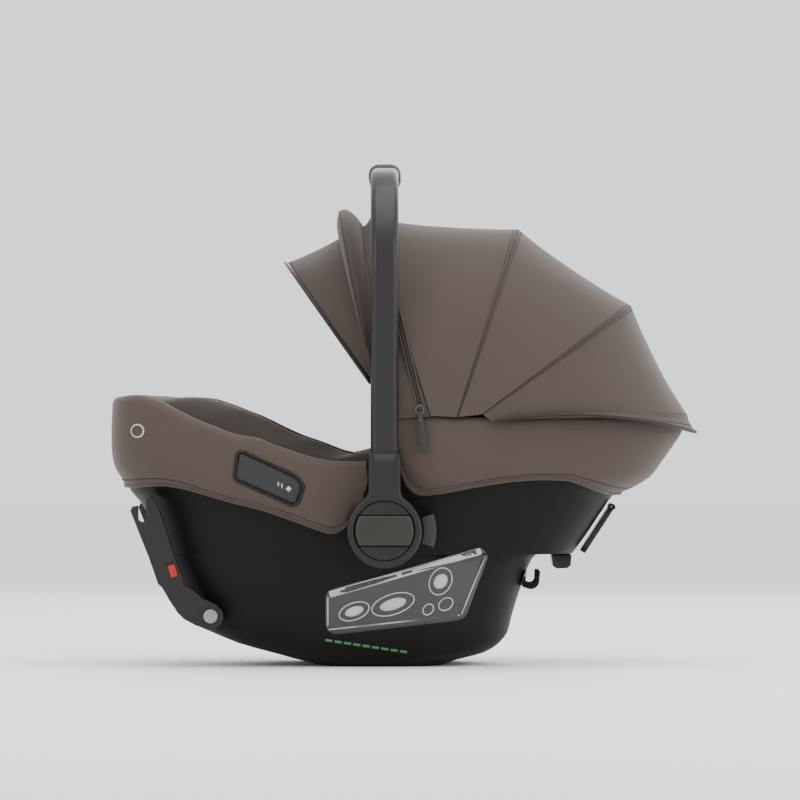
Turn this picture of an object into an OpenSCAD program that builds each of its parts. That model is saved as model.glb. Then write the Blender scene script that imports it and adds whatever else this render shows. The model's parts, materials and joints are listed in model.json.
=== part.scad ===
// Infant car seat: a moulded carrier with a padded seat and harness, a turning
// carry handle, a folding canopy and two latch arms that swing out at the foot end.
// Millimetres. +Z is up, +X points to the head end, -Y is the left side.
// The origin is on the ground under the middle of the whole seat.

/* [Carrier] */
// Length from the foot cover to the canopy hem
seat_l = 670; // [620:5:800]
// Width of the shell at its rim
shell_w = 340; // [300:2:408]
// Wall of the moulded shell
shell_t = 4; // [3:0.5:5]
// Thickness of the fabric covers round the rim
cover_t = 5; // [4:0.5:6]
// Thickness of the seat pad, measured level
pad_t = 14; // [10:1:18]

/* [Handle] */
// Height of the handle above the ground
handle_h = 573; // [560:1:690]
// Width of a handle leg seen from the side
leg_w = 31.5; // [26:0.5:40]
// Thickness of a handle leg across the seat
leg_t = 17; // [13:1:20]
// Depth of the crossbar
crossbar_t = 25; // [20:1:30]
// Radius of the handle's upper corners
corner_r = 112; // [90:2:130]
// Length of the soft grip on the crossbar
grip_l = 170; // [120:5:200]
// Diameter of a handle hub
hub_d = 85; // [74:1:107]
// Diameter of a handle pivot pin
pin_d = 12; // [8:1:16]

/* [Canopy] */
// Reach of the front bow from the canopy pivot
canopy_r = 279; // [270:1:300]
// Thickness of the canopy cloth
cloth_t = 1.6; // [1:0.2:1.8]
// Width of a bow strip
bow_w = 8; // [6:0.5:10]
// Thickness of a bow strip
bow_t = 2.4; // [2:0.1:2.6]

/* [Latch arms] */
// Distance between the middles of the two anchor bars
anchor_gap = 280; // [270:1:290]
// Diameter of the anchor bar that a latch takes
anchor_d = 6; // [5:0.5:7]
// Width of a latch arm across the seat
arm_w = 28; // [20:1:30]
// Diameter of the arm pivot
axle_d = 10; // [8:0.5:12]

/* [Harness] */
// Width of the harness webbing
strap_w = 25; // [20:1:30]
// Distance between the middles of the shoulder straps
strap_gap = 84; // [70:1:100]
// Thickness of the webbing
strap_t = 1.6; // [1.2:0.2:2]

/* [Hidden] */

$fn = 48;
gap = 0.5;
ring_n = 44;
hoop_n = 26;
nominal_l = 670;
nominal_w = 340;
kx = seat_l / nominal_l;
ky = shell_w / nominal_w;

// Side profile of the shell as [height, place]: its foot face, its head face and its half width
foot_face = [[0, -95], [5, -118], [14, -152], [25, -192], [37, -221], [47, -244], [56, -255],
    [75, -262], [120, -280], [180, -300], [197, -313], [202, -317], [216, -321], [231, -325],
    [252, -327], [320, -327]];
head_face = [[0, 45], [5, 58], [14, 92], [25, 109], [37, 118], [56, 123], [88, 133], [121, 146],
    [127, 152], [128, 193], [150, 209], [180, 229], [195, 240], [202, 255], [214, 272],
    [236, 288], [256, 302], [266, 309], [285, 314], [320, 316]];
half_width = [[0, 105], [5, 118], [14, 128], [25, 134], [48, 141], [88, 148], [127, 152],
    [180, 158], [210, 163], [247, 168], [300, 170], [320, 170]];
body_levels = [0, 5, 14, 25, 37, 47, 56, 75, 100, 121, 127, 128, 150, 180, 195, 202, 214, 231,
    252, 266, 285, 320];

// Inside of the seat, as the same three profiles
bowl_foot = [[60, -90], [75, -120], [100, -165], [150, -225], [200, -262], [250, -288], [330, -300]];
bowl_head = [[60, -20], [75, 10], [100, 60], [150, 140], [200, 205], [250, 262], [285, 290],
    [330, 296]];
bowl_half = [[60, 70], [75, 95], [100, 112], [150, 126], [200, 136], [250, 144], [330, 150]];
bowl_levels = [60, 66, 75, 87, 100, 125, 150, 175, 200, 225, 250, 285, 330];

// The rim seen from the side, [place, height]
rim_line = [[-400, 302], [-318, 302], [-290, 298], [-264, 288], [-241, 278], [-200, 262], [-159, 251],
    [-113, 238], [-60, 232], [-30, 238], [0, 262], [30, 280], [60, 284], [320, 284], [420, 284]];

// Pivot of the canopy, of the handle and of the latch arms
canopy_x = 45.7 * kx;
canopy_z = 247;
hub_x = -23.5 * kx;
hub_z = 156.5;
hub_r = hub_d / 2;
arm_x = -221 * kx;
arm_z = 58.6;

// Layers from the shell outwards, as half widths at the rim
rim_y = shell_w / 2;
bow_step = bow_t + 0.6;
bow_y = rim_y + 3;
cover_in = 14;
cover_y = rim_y + cover_in + cover_t;
hem_y = cover_y + gap + cloth_t;
visor_y = hem_y + gap + cloth_t;
leg_in = visor_y + 5;
leg_y = leg_in + leg_t / 2;
leg_out = leg_in + leg_t;
hub_face = leg_out + 2;
button_face = hub_face + 4;
cover_x = 8 * kx;

function foot_x(z) = lookup(z, foot_face) * kx;
function head_x(z) = lookup(z, head_face) * kx;
function body_y(z) = lookup(z, half_width) * ky;
function rim_z(x) = lookup(x / kx, rim_line);
function side_pow(v, e) = sign(v) * pow(abs(v), 2 / e);

// One level loop: round at both ends, squarer towards the foot
head_e = 3;
function foot_e(z) = lookup(z, [[190, 4], [260, 6]]);
function level_loop(z, x0, x1, w, ef, eh) = [for (i = [0:ring_n - 1])
    let (a = 360 * i / ring_n, c = cos(a), s = sin(a), e = c < 0 ? ef : eh)
    [(x0 + x1) / 2 + (x1 - x0) / 2 * side_pow(c, e), w * side_pow(s, e), z]];
function body_loop(z, dx, dy) = level_loop(z, foot_x(z) - dx, head_x(z) + dx, body_y(z) + dy, foot_e(z), head_e);
function bowl_x0(z, d) = lookup(z, bowl_foot) * kx + d;
function bowl_x1(z, d) = lookup(z, bowl_head) * kx - d;
function bowl_y(z, d) = lookup(z, bowl_half) * ky - d;
function bowl_loop(z, d, lift) = level_loop(z + lift, bowl_x0(z, d), bowl_x1(z, d), bowl_y(z, d), 2.6, 2.6);

function arc(cx, cy, r, a0, a1, n) = [for (i = [0:n])
    let (a = a0 + (a1 - a0) * i / n) [cx + r * cos(a), cy + r * sin(a)]];
function rounded(w, h, r) = concat(arc(w / 2 - r, h / 2 - r, r, 0, 90, 6),
    arc(r - w / 2, h / 2 - r, r, 90, 180, 6), arc(r - w / 2, r - h / 2, r, 180, 270, 6),
    arc(w / 2 - r, r - h / 2, r, 270, 360, 6));

// A closed skin over loops of equal length, each anticlockwise seen from the loop that follows
module loft(loops) {
    n = len(loops[0]);
    m = len(loops);
    sides = [for (j = [0:m - 2]) for (i = [0:n - 1]) let (k = (i + 1) % n, a = j * n, b = a + n)
        each [[a + i, b + i, b + k], [a + i, b + k, a + k]]];
    lower = [for (i = [0:n - 1]) i];
    upper = [for (i = [n - 1:-1:0]) (m - 1) * n + i];
    polyhedron([for (loop = loops) each loop], concat(sides, [lower, upper]));
}

// The body's outer form, grown by dx along and dy across
module body_form(dx, dy, levels = body_levels) {
    loft([for (z = levels) body_loop(z, dx, dy)]);
}
module bowl_form(d, lift) {
    loft([for (z = bowl_levels) bowl_loop(z, d, lift)]);
}

// Everything above the rim, raised by rise
module above_rim(rise) {
    top = 500;
    line = [for (p = rim_line) [p[0] * kx, p[1] + rise]];
    side_cut(concat(line, [[420 * kx, top], [-400 * kx, top]]));
}

// A side outline carried right across the seat
module side_cut(outline, y0 = -300, y1 = 300) {
    translate([0, y1, 0]) rotate([90, 0, 0]) linear_extrude(y1 - y0) polygon(outline);
}

// A piece on the left side, and its twin on the right
module on_side(side) {
    if (side < 0) children();
    else mirror([0, 1, 0]) children();
}
module both_sides() {
    for (side = [-1, 1]) on_side(side) children();
}

// A flat piece parallel to the left side, from outer to inner distance
module side_plate(x, z, y_out, y_in) {
    translate([x, -y_in, z]) rotate([90, 0, 0]) linear_extrude(y_out - y_in) children();
}

// A round bar across the seat on the left side, from outer to inner distance
module across(x, z, r, y_out, y_in) {
    translate([x, -y_in, z]) rotate([90, 0, 0]) cylinder(h = y_out - y_in, r = r);
}

// ---- Carrier ----

hub_post_r = hub_r - 3;
post_in = rim_y - 32;
foam_out = shell_t + gap;
axle_in = anchor_gap / 2 - arm_w / 2 - 24;
axle_out = anchor_gap / 2 + arm_w / 2 + 4;

// Moulded outer shell: thin wall, open top, round openings for the hub posts and the latch axles
module shell() {
    color([0.16, 0.14, 0.12]) resize([0, 0, 0]) {
        difference() {
            body_form(0, 0);
            intersection() {
                body_form(-shell_t, -shell_t);
                translate([-500, -300, shell_t]) cube([1000, 600, 500]);
            }
            above_rim(0);
            both_sides() across(hub_x, hub_z, hub_post_r + gap, rim_y + 40, post_in - 20);
            both_sides() across(arm_x, arm_z, axle_d / 2 + gap, axle_out, axle_in - gap);
            both_sides() across(canopy_x, canopy_z, mount_r + gap, rim_y + 20, rim_y - 40);
        }
    }
}

// Energy-absorbing foam between the shell and the seat pad
module foam_liner() {
    color([0.2, 0.2, 0.2]) resize([0, 0, 0]) {
        difference() {
            body_form(-foam_out, -foam_out);
            translate([-500, -300, -1]) cube([1000, 600, 41]);
            bowl_form(0, 0);
            above_rim(-3);
            both_sides() across(hub_x, hub_z, hub_post_r + gap, rim_y + 40, post_in - gap);
            both_sides() across(arm_x, arm_z, axle_d / 2 + gap, axle_out, axle_in - gap);
            both_sides() across(canopy_x, canopy_z, mount_r + 4 + gap, rim_y + 20, rim_y - 26 - gap);
            slot_cuts();
        }
    }
}

// Fabric cover band round one end, between its lower edge and the rim
module cover_band(outline, levels, eyes = false) {
    intersection() {
        difference() {
            body_form(cover_x, cover_in + cover_t, levels);
            body_form(cover_x - cover_t, cover_in, levels);
            if (eyes) both_sides() across(canopy_x, canopy_z, mount_r + 4 + gap, bow_y + 3 * bow_step + 1, 0);
            else both_sides() flap_frame_at() translate([0, 0, -gap]) linear_extrude(20) flap_outline(3 + gap);
        }
        side_cut([for (p = outline) [p[0] * kx, p[1]]]);
    }
}

foot_levels = [140, 150, 165, 180, 195, 210, 225, 240, 255, 270, 285, 300, 320];
head_levels = [170, 180, 195, 202, 214, 225, 236, 246, 256, 266, 285, 320];
module foot_cover() {
    color([0.4, 0.36, 0.33]) resize([0, 0, 0]) {
        cover_band([[-400, 206], [-316, 204.7], [-280, 207.6], [-257, 204.7], [-230, 197.4],
            [-196, 187.8], [-163, 179.5], [-126, 167], [-101, 157], [-91, 152], [-84, 153],
            [-76, 158], [-70, 166], [-62, 195], [-52, 222], [-43, 235], [-57.5, 236], [-88.5, 238],
            [-113, 242], [-138, 250], [-159, 257], [-175, 264], [-197, 268], [-241, 283],
            [-264, 293], [-303, 308], [-400, 309]], foot_levels);
    }
}

module head_cover() {
    color([0.37, 0.33, 0.31]) resize([0, 0, 0]) {
        cover_band([[-3, 225], [2, 209], [9.5, 199], [18, 196], [35, 198], [86, 207.5], [124, 213],
            [158, 215], [186, 214], [203, 209], [242, 197], [400, 197], [400, 280], [60, 283],
            [-3, 283]], head_levels, true);
    }
}

pad_lift = pad_t * 0.7;
// Padded seat lining that follows the inside of the seat up to the rim
module seat_pad() {
    color([0.27, 0.24, 0.21]) resize([0, 0, 0]) {
        difference() {
            bowl_form(gap, gap);
            bowl_form(pad_t, pad_lift);
            above_rim(4);
            slot_cuts();
            harness_room();
        }
    }
}

insert_t = 12;
insert_d = pad_t + gap;
insert_top = 178;
insert_lift = pad_lift + insert_t * 0.8;
// Removable lower cushion for a newborn
module infant_insert() {
    color([0.3, 0.27, 0.25]) resize([0, 0, 0]) {
        difference() {
            bowl_form(insert_d, pad_lift + gap);
            bowl_form(insert_d + insert_t, insert_lift);
            translate([-500, -300, insert_top]) cube([1000, 600, 400]);
            slot_cuts();
            harness_room();
        }
    }
}

// Shoulder slots and the crotch slot through liner, pad and insert
slot_w = strap_w + 6;
slot_z = 205;
crotch_x = -42 * kx;
module slot_cuts() {
    for (side = [-1, 1])
        translate([bowl_x1(slot_z, 20), side * strap_gap / 2 - slot_w / 2, slot_z - 6]) cube([120, slot_w, 12]);
    translate([crotch_x - 7, -slot_w / 2, 40]) cube([14, slot_w, 60]);
}

// Line of the backrest surface in front of pad and insert
back_off = insert_d + insert_t + 5.5;
function back_x(z) = bowl_x1(z - insert_lift, back_off);
back_tilt = atan2(200 - 125, back_x(200) - back_x(125));

// Horseshoe cushion round the head
cushion_low = 206;
cushion_high = 247;
cushion_t = 20;
cushion_x = 105 * kx;
module head_cushion() {
    color([0.3, 0.27, 0.25]) resize([0, 0, 0]) {
        difference() {
            bowl_form(insert_d, pad_lift + gap);
            bowl_form(insert_d + cushion_t, pad_lift + gap);
            translate([-500, -300, cushion_high]) cube([1000, 600, 300]);
            translate([-500, -300, cushion_low - 300]) cube([1000, 600, 300]);
            translate([cushion_x - 500, -300, 100]) cube([500, 600, 300]);
            slot_cuts();
            harness_room();
        }
    }
}

// ---- Harness ----

// A flat strip of webbing along side-view points [x, y, z]
module ribbon(points, w, t) {
    m = len(points);
    loft([for (j = [0:m - 1])
        let (p = points[j], q = points[min(j + 1, m - 1)], o = points[max(j - 1, 0)],
            d = q - o, l = norm([d[0], d[2]]), nx = -d[2] / l * t / 2, nz = d[0] / l * t / 2)
        [[p[0] - nx, p[1] - w / 2, p[2] - nz], [p[0] + nx, p[1] - w / 2, p[2] + nz],
            [p[0] + nx, p[1] + w / 2, p[2] + nz], [p[0] - nx, p[1] + w / 2, p[2] - nz]]]);
}

buckle_z = 116;
buckle_x = back_x(buckle_z) - 24;
buckle_w = 44;
buckle_l = 52;
buckle_t = 20;
tongue_t = 4;
strap_low = 128;
pad_low = 146;
pad_high = 190;
pad_mid = (pad_low + pad_high) / 2;
shoulder_pad_l = (pad_high - pad_low) / sin(back_tilt);
shoulder_pad_y = strap_gap / 2 - 3;
crotch_top = 84;
shoulder_pad_w = strap_w + 18;
shoulder_pad_t = 12;

// Clear space in the padding round everything that lies on it
module harness_room() {
    room = 1.2;
    both_sides() at_back(pad_mid, 0, shoulder_pad_y) translate([0, 0, -shoulder_pad_t / 2 - room])
        linear_extrude(60) polygon(rounded(shoulder_pad_l + 2 * room, shoulder_pad_w + 2 * room, 8));
    both_sides() at_back(pad_high, 0, shoulder_pad_y) translate([-8, -strap_w / 2 - 2, -strap_t / 2 - 2])
        cube([60, strap_w + 4, 8]);
    both_sides() at_back(strap_low, 0) translate([-8, -shoulder_pad_y - strap_w / 2, -strap_t / 2 - 2])
        cube([50, shoulder_pad_y + strap_w / 2, 60]);
    buckle_frame() translate([-buckle_l / 2 - 2, -buckle_w / 2 - room, -buckle_t / 2 - room])
        cube([buckle_l + 26, buckle_w + 2 * room, 90]);
    adjuster_frame() translate([-23 - room, -17 - room, -4 - room]) cube([46 + 2 * room, 34 + 2 * room, 60]);
    both_sides() translate([buckle_x - strap_w / 2 - room, -bowl_y(lap_z, insert_d) + 1, lap_z - 8]) cube([strap_w + 2 * room, 60, 40]);
    translate([crotch_x - 24, -strap_w / 2 - 8, crotch_top - 8]) cube([50, strap_w + 16, 60]);
}

module at_back(z, off, y = 0) {
    translate([back_x(z) - off * sin(back_tilt), y, z + off * cos(back_tilt)]) rotate([0, -back_tilt, 0]) children();
}

// Webbing from each shoulder slot down the backrest to the buckle tongues
module shoulder_straps() {
    color([0.12, 0.12, 0.12])
        both_sides() ribbon([for (z = [slot_z:-7:strap_low]) let (k = (z - strap_low) / (pad_low - strap_low))
            [back_x(z) + (z < slot_z ? 0 : 14), -12 - (shoulder_pad_y - 12) * min(1, k), z]],
            strap_w * 0.8, strap_t);
}

module shoulder_pads() {
    color([0.33, 0.3, 0.28]) both_sides() difference() {
        at_back(pad_mid, 0, -shoulder_pad_y) translate([0, 0, -shoulder_pad_t / 2]) linear_extrude(shoulder_pad_t)
            polygon(rounded(shoulder_pad_l, shoulder_pad_w, 8));
        at_back(pad_mid, 0, -shoulder_pad_y) translate([-90, -strap_w / 2 - 5, -strap_t - 2.5])
            cube([180, strap_w + 10, 2 * strap_t + 5]);
    }
}

// Hip webbing from the side of the seat to the tongues
lap_z = buckle_z - 4;
module lap_straps() {
    color([0.12, 0.12, 0.12])
        both_sides() loft([for (i = [0:5]) let (k = i / 5, y = -bowl_y(lap_z, insert_d + 3) * (1 - k)
            - (buckle_w / 2 + 8) * k, z = lap_z + 12 * sin(180 * k) + 9 * k)
            [[buckle_x - strap_w / 2, y, z - strap_t / 2], [buckle_x + strap_w / 2, y, z - strap_t / 2],
                [buckle_x + strap_w / 2, y, z + strap_t / 2], [buckle_x - strap_w / 2, y, z + strap_t / 2]]]);
}

module buckle_frame() {
    translate([buckle_x, 0, buckle_z]) rotate([0, -back_tilt, 0]) children();
}
button_r = 10;

module buckle_housing() {
    color([0.14, 0.14, 0.14]) buckle_frame() difference() {
        translate([0, 0, -buckle_t / 2]) linear_extrude(buckle_t) polygon(rounded(buckle_l, buckle_w, 10));
        translate([buckle_l / 2 - 16, -15, -tongue_t / 2 - 1]) cube([20, 30, tongue_t + 2]);
        translate([-4, 0, 0]) cylinder(h = buckle_t, r = button_r + gap);
    }
}

module buckle_button() {
    color([0.75, 0.1, 0.08]) buckle_frame() {
        translate([-4, 0, buckle_t / 2 - 6]) cylinder(h = 8, r = button_r);
    }
}

module buckle_tongues() {
    color([0.5, 0.5, 0.52]) buckle_frame()
        for (side = [-1, 1]) translate([buckle_l / 2 - 14, side * 7.5 - 6, -tongue_t / 2]) difference() {
            cube([32, 12, tongue_t]);
            translate([24, 3, -1]) cube([4, 6, tongue_t + 2]);
        }
}

module crotch_strap() {
    color([0.12, 0.12, 0.12]) {
        bottom = buckle_x - (buckle_l / 2 + 1) * cos(back_tilt);
        top = buckle_z - (buckle_l / 2 + 1) * sin(back_tilt);
        ribbon([[crotch_x, 0, 50], [crotch_x, 0, 66], [crotch_x + 2, 0, top - 6], [bottom, 0, top]], strap_w, strap_t);
    }
}

module crotch_pad() {
    color([0.33, 0.3, 0.28]) translate([crotch_x - 14, -strap_w / 2 - 6, crotch_top]) rotate([0, -12, 0])
        linear_extrude(30) translate([0, strap_w / 2 + 6]) polygon(rounded(8, strap_w + 12, 3.5));
}

// Harness adjuster in the middle of the leg slope, with its release button
adjuster_z = 138;
adjuster_tilt = 50;
module adjuster_frame() {
    translate([bowl_x0(adjuster_z, pad_t + 10), 0, adjuster_z + 6]) rotate([0, adjuster_tilt, 0]) children();
}
module adjuster_housing() {
    color([0.14, 0.14, 0.14]) adjuster_frame() difference() {
        translate([0, 0, -4]) linear_extrude(14) polygon(rounded(46, 34, 8));
        translate([-6, 0, 2]) cylinder(h = 20, r = 9 + gap);
        translate([12, -14, -5]) cube([6, 28, 30]);
    }
}
module adjuster_button() {
    color([0.45, 0.45, 0.45]) adjuster_frame() translate([-6, 0, 5]) cylinder(h = 8, r = 9);
}

plate_x = 20 * kx;
plate_z = 16;
// Plate under the seat that joins the two shoulder straps to the adjuster strap
module splitter_plate() {
    color([0.55, 0.55, 0.57]) translate([plate_x, 0, plate_z]) difference() {
        translate([0, 0, -1.5]) linear_extrude(3) polygon(rounded(56, 60, 8));
        for (y = [-18, 18]) translate([8, y - 9, -3]) cube([6, 18, 6]);
        translate([-16, -14, -3]) cube([6, 28, 6]);
    }
}

// ---- Handle ----

ring_w = leg_out - leg_in + 3;
disc_r = hub_r - 9;
sleeve_w = leg_w + 5;
sleeve_top = 244;
bar_z = handle_h - crossbar_t / 2;
corner_y = leg_y - corner_r;
corner_z = bar_z - corner_r;
spring_r = 12;
recess_y = hub_face - 5;
oval_y = hub_face - 8.5;
pocket_y = hub_face - 15;
button_back = hub_face - 2.5;

// Post that carries the handle, fixed in the side of the carrier
module hub_base(side) {
    color([0.17, 0.15, 0.13]) on_side(side) difference() {
        across(hub_x, hub_z, hub_post_r, leg_in - 0.6, post_in);
        across(hub_x, hub_z, pin_d / 2, leg_in + 1, post_in - 1);
        across(hub_x, hub_z, spring_r + 3, post_in + 12, post_in - 1);
    }
}
module hub_base_left() { hub_base(-1); }
module hub_base_right() { hub_base(1); }

// Steel pin on each side that the handle turns on
module handle_pins() {
    color([0.6, 0.6, 0.62]) both_sides() {
        across(hub_x, hub_z, pin_d / 2 - 0.2, pocket_y + 5, post_in + 11);
        across(hub_x, hub_z, pin_d / 2 + 3, post_in + 11.8, post_in + 7.8);
    }
}

// Leg section, wide at the sleeve and narrower above
module leg_profile(w, t) {
    polygon(rounded(w, t, t * 0.42));
}
module handle_bar() {
    color([0.22, 0.2, 0.2]) translate([hub_x, 0, 0]) {
        difference() {
            union() {
                both_sides() {
                    translate([0, -leg_y, hub_z + hub_r - 2]) linear_extrude(corner_z - hub_z - hub_r + 2)
                        leg_profile(leg_w, leg_t);
                    translate([0, -corner_y, corner_z]) rotate([0, 90, 0]) rotate([0, 0, 180])
                        rotate_extrude(angle = 90) translate([corner_r, 0]) rotate(90) leg_profile(leg_w, leg_t);
                }
                translate([0, corner_y, bar_z]) rotate([90, 0, 0]) linear_extrude(2 * corner_y)
                    polygon(rounded(leg_w, leg_t, leg_t * 0.42));
            }
        }
    }
}

// Soft grip round the crossbar
module handle_grip() {
    color([0.25, 0.23, 0.22]) translate([hub_x, grip_l / 2, bar_z]) rotate([90, 0, 0]) linear_extrude(grip_l)
        difference() {
            polygon(rounded(leg_w + 4, crossbar_t, crossbar_t * 0.42));
            polygon(rounded(leg_w + 0.6, leg_t + 0.6, leg_t * 0.42 + 0.3));
        }
}

// Hub housing: a ring with a recessed face and a sleeve that takes the leg
hub_depth = hub_face - leg_in;
module hub_shell(side) {
    color([0.17, 0.15, 0.13]) on_side(side) difference() {
        union() {
            across(hub_x, hub_z, hub_r, hub_face, leg_in);
            translate([hub_x - sleeve_w / 2, -hub_face, hub_z]) cube([sleeve_w, hub_depth, sleeve_top - hub_z]);
        }
        across(hub_x, hub_z, disc_r + gap, hub_face + 1, recess_y);
        side_plate(hub_x, hub_z, hub_face, oval_y) oval(gap);
        across(hub_x, hub_z, spring_r + 2, hub_face, pocket_y);
        across(hub_x, hub_z, pin_d / 2, hub_face + 1, leg_in - 1);
        translate([hub_x, -leg_y, hub_z + hub_r - 2.5]) linear_extrude(200)
            polygon(rounded(leg_w + 0.6, leg_t + 0.6, leg_t * 0.42 + 0.3));
    }
}
module hub_shell_left() { hub_shell(-1); }
module hub_shell_right() { hub_shell(1); }

// Face disc with the oval opening for the release button
oval_w = 70.5 * hub_d / 89;
oval_h = 35.5 * hub_d / 89;
module oval(grow) {
    intersection() {
        circle(r = disc_r - 0.3 + grow);
        square([oval_w + 40, oval_h + 2 * grow], center = true);
    }
}
module hub_disc(side) {
    color([0.19, 0.17, 0.15]) on_side(side)
        side_plate(hub_x, hub_z, hub_face - 1, recess_y) difference() {
            circle(r = disc_r);
            square([2 * disc_r + 4, oval_h + 1], center = true);
        }
}
module hub_disc_left() { hub_disc(-1); }
module hub_disc_right() { hub_disc(1); }

// Oval release button that slides in against its spring
module hub_button(side) {
    color([0.24, 0.22, 0.19]) on_side(side) side_plate(hub_x, hub_z, button_face, button_back) oval(0);
}
module hub_button_left() { hub_button(-1); }
module hub_button_right() { hub_button(1); }

module hub_springs() {
    color([0.7, 0.7, 0.72]) both_sides() difference() {
        across(hub_x, hub_z, spring_r, button_back - 0.2, pocket_y + 0.2);
        across(hub_x, hub_z, spring_r - 2, hub_face, pocket_y);
    }
}

// Wedge button on the head side of the hub
wedge_r0 = hub_r + 1;
wedge_r1 = hub_r + 16;
wedge_a = 19;
module wedge(r0, r1, a) {
    polygon(concat(arc(0, 0, r1, -a, a, 10), arc(0, 0, r0, a, -a, 10)));
}
module memory_button(side) {
    color([0.3, 0.28, 0.26]) on_side(side)
        side_plate(hub_x, hub_z, leg_in - 1, rim_y - 4) wedge(wedge_r0, wedge_r1, wedge_a);
}
module memory_button_left() { memory_button(-1); }
module memory_button_right() { memory_button(1); }

// ---- Hardware on the carrier ----

// Curved belt hook on each side of the head end, open upwards
hook_y0 = 34;
hook_y1 = 58;
module belt_hooks() {
    color([0.13, 0.12, 0.1]) both_sides() side_cut([for (p = concat([[134, 90]], arc(144, 97, 10, 250, 360, 8),
        [[155, 108], [150, 108]], arc(144, 99, 6, 340, 190, 8), [[139.5, 108]])) [p[0] * kx, p[1]]], hook_y0, hook_y1);
}

// Block under the head end that rests on the base's rear bar
block_y = 52;
module rear_block() {
    color([0.13, 0.12, 0.1]) side_cut([[168, 126.4], [170, 113], [174, 110.5], [186, 111], [190, 114],
        [191, 126.4]] * [[kx, 0], [0, 1]], -block_y, block_y);
}

// Pull lever on the back that frees the carrier from its base
lever_x = 238 * kx;
lever_z = 181;
lever_l = 62;
lever_y = 46;
lever_t = 5;
lever_tilt = 33;
module release_lever() {
    color([0.16, 0.14, 0.12]) translate([lever_x, 0, lever_z]) rotate([0, lever_tilt, 0]) difference() {
        union() {
            translate([-lever_t / 2, 0, 0]) rotate([0, 90, 0]) linear_extrude(lever_t)
                translate([lever_l / 2, 0]) polygon(rounded(lever_l, 2 * lever_y, 10));
            translate([0, lever_y - 4, 0]) rotate([90, 0, 0]) cylinder(h = 2 * lever_y - 8, r = lever_t / 2 + 1.2);
        }
        translate([0, lever_y, 0]) rotate([90, 0, 0]) cylinder(h = 2 * lever_y, r = 1.5);
    }
}

// Two generic information panels on the sides
label_edge = [[-91, 50], [-89.5, 44], [-81.5, 37], [61, 53], [69, 57], [95, 127], [85, 137.6], [-85, 89], [-91, 82.6]];
module info_labels() {
    color([0.4, 0.38, 0.37]) resize([0, 0, 0]) intersection() {
        difference() {
            body_form(1.4, 1.4);
            body_form(0.6, 0.6);
        }
        side_cut([for (p = label_edge) [p[0] * kx, p[1]]]);
    }
}

// Belt guide on each side of the foot cover: a frame, and a flap hinged at its foot end
flap_x = -200 * kx;
flap_z = 229;
flap_tilt = 20;
flap_l = 84;
flap_h0 = 34;
flap_h1 = 25;
flap_t = 3;
flap_y = cover_edge_y(flap_x + flap_l / 2, flap_z - 14) + 2;
module flap_frame_at() {
    translate([flap_x, -flap_y, flap_z]) rotate([90, 0, 0]) rotate(-flap_tilt) children();
}
module flap_outline(grow) {
    polygon([[-grow, -flap_h0 / 2 - grow], [flap_l - 10, -flap_h1 / 2 - 4 - grow],
        [flap_l + grow, -flap_h1 / 2 + 2], [flap_l + grow, flap_h1 / 2 - 6], [flap_l - 6, flap_h1 / 2 + grow],
        [-grow, flap_h0 / 2 + grow]]);
}
module flap_frames() {
    color([0.14, 0.12, 0.11]) both_sides() flap_frame_at() linear_extrude(1.2) flap_outline(3);
}
module belt_flap(side) {
    color([0.16, 0.13, 0.12]) on_side(side) flap_frame_at() translate([0, 0, 1.5]) linear_extrude(flap_t)
        flap_outline(0);
}
module belt_flap_left() { belt_flap(-1); }
module belt_flap_right() { belt_flap(1); }

// Plain ring emblem on each side of the foot cover
emblem_x = -303.6 * kx;
emblem_z = 269;
emblem_r = 7;
emblem_turn = 34;
module ring_emblems() {
    color([0.85, 0.84, 0.82]) both_sides()
        translate([emblem_x - 2.5, -cover_edge_y(emblem_x, emblem_z) - 1.6, emblem_z]) rotate([0, 0, -emblem_turn])
            rotate([90, 0, 0]) rotate_extrude() translate([emblem_r, 0]) circle(r = 1, $fn = 12);
}
function cover_edge_y(x, z) = let (x0 = foot_x(z) - cover_x, x1 = head_x(z) + cover_x, u = (2 * x - x0 - x1) / (x1 - x0))
    (body_y(z) + cover_in + cover_t) * pow(1 - pow(abs(u), foot_e(z)), 1 / foot_e(z));

// ---- Canopy ----

mount_r = 5;
kr = canopy_r / 279;
hem_reach = seat_l / 2 - canopy_x;
cloth_e = 2.9;
bow_e = 2.8;
bow_inset = 8;
front_a = 108;
mid_a = 71.6;
rear_a = 37.7;

// Hoops as [bottom angle, bottom reach, top angle, top reach] from the canopy pivot
edge_hoop = [138.1, 114 * kr, 130.4, 282 * kr];
fold_hoop = [135.2, 118 * kr, 111.6, 276 * kr];
zip_hoop = [114.4, 43, 108.1, canopy_r];
mid_hoop = [70.5, 40, 71.6, 267.5 * kr];
rear_hoop = [44.5, 58.5, 37.7, 270.7 * kr];
hem_top_hoop = [35, 61, 8, hem_reach - 7];
hem_low_hoop = [29, 62, 3.5, hem_reach];

module canopy_mounts() {
    color([0.55, 0.55, 0.57]) both_sides() {
        across(canopy_x, canopy_z, mount_r, bow_y + 3 * bow_step, rim_y - 24);
        across(canopy_x, canopy_z, mount_r + 4, rim_y - 24, rim_y - 26);
    }
}

function hoop_point(h, w, t, inset) = let (s = side_pow(sin(t), cloth_e), c = side_pow(cos(t), cloth_e),
    x0 = h[1] * cos(h[0]), z0 = h[1] * sin(h[0]), x1 = (h[3] - inset) * cos(h[2]), z1 = (h[3] - inset) * sin(h[2]))
    [canopy_x + x0 + (x1 - x0) * s, (w - inset) * c, canopy_z + z0 + (z1 - z0) * s];
function hoop_times() = [for (i = [0:hoop_n]) let (a = 180 * i / hoop_n) a - 12 * sin(4 * a) / 2];

function between(a, b, w, t, v, inset) = (1 - v) * hoop_point(a, w, t, inset) + v * hoop_point(b, w, t, inset);

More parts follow.
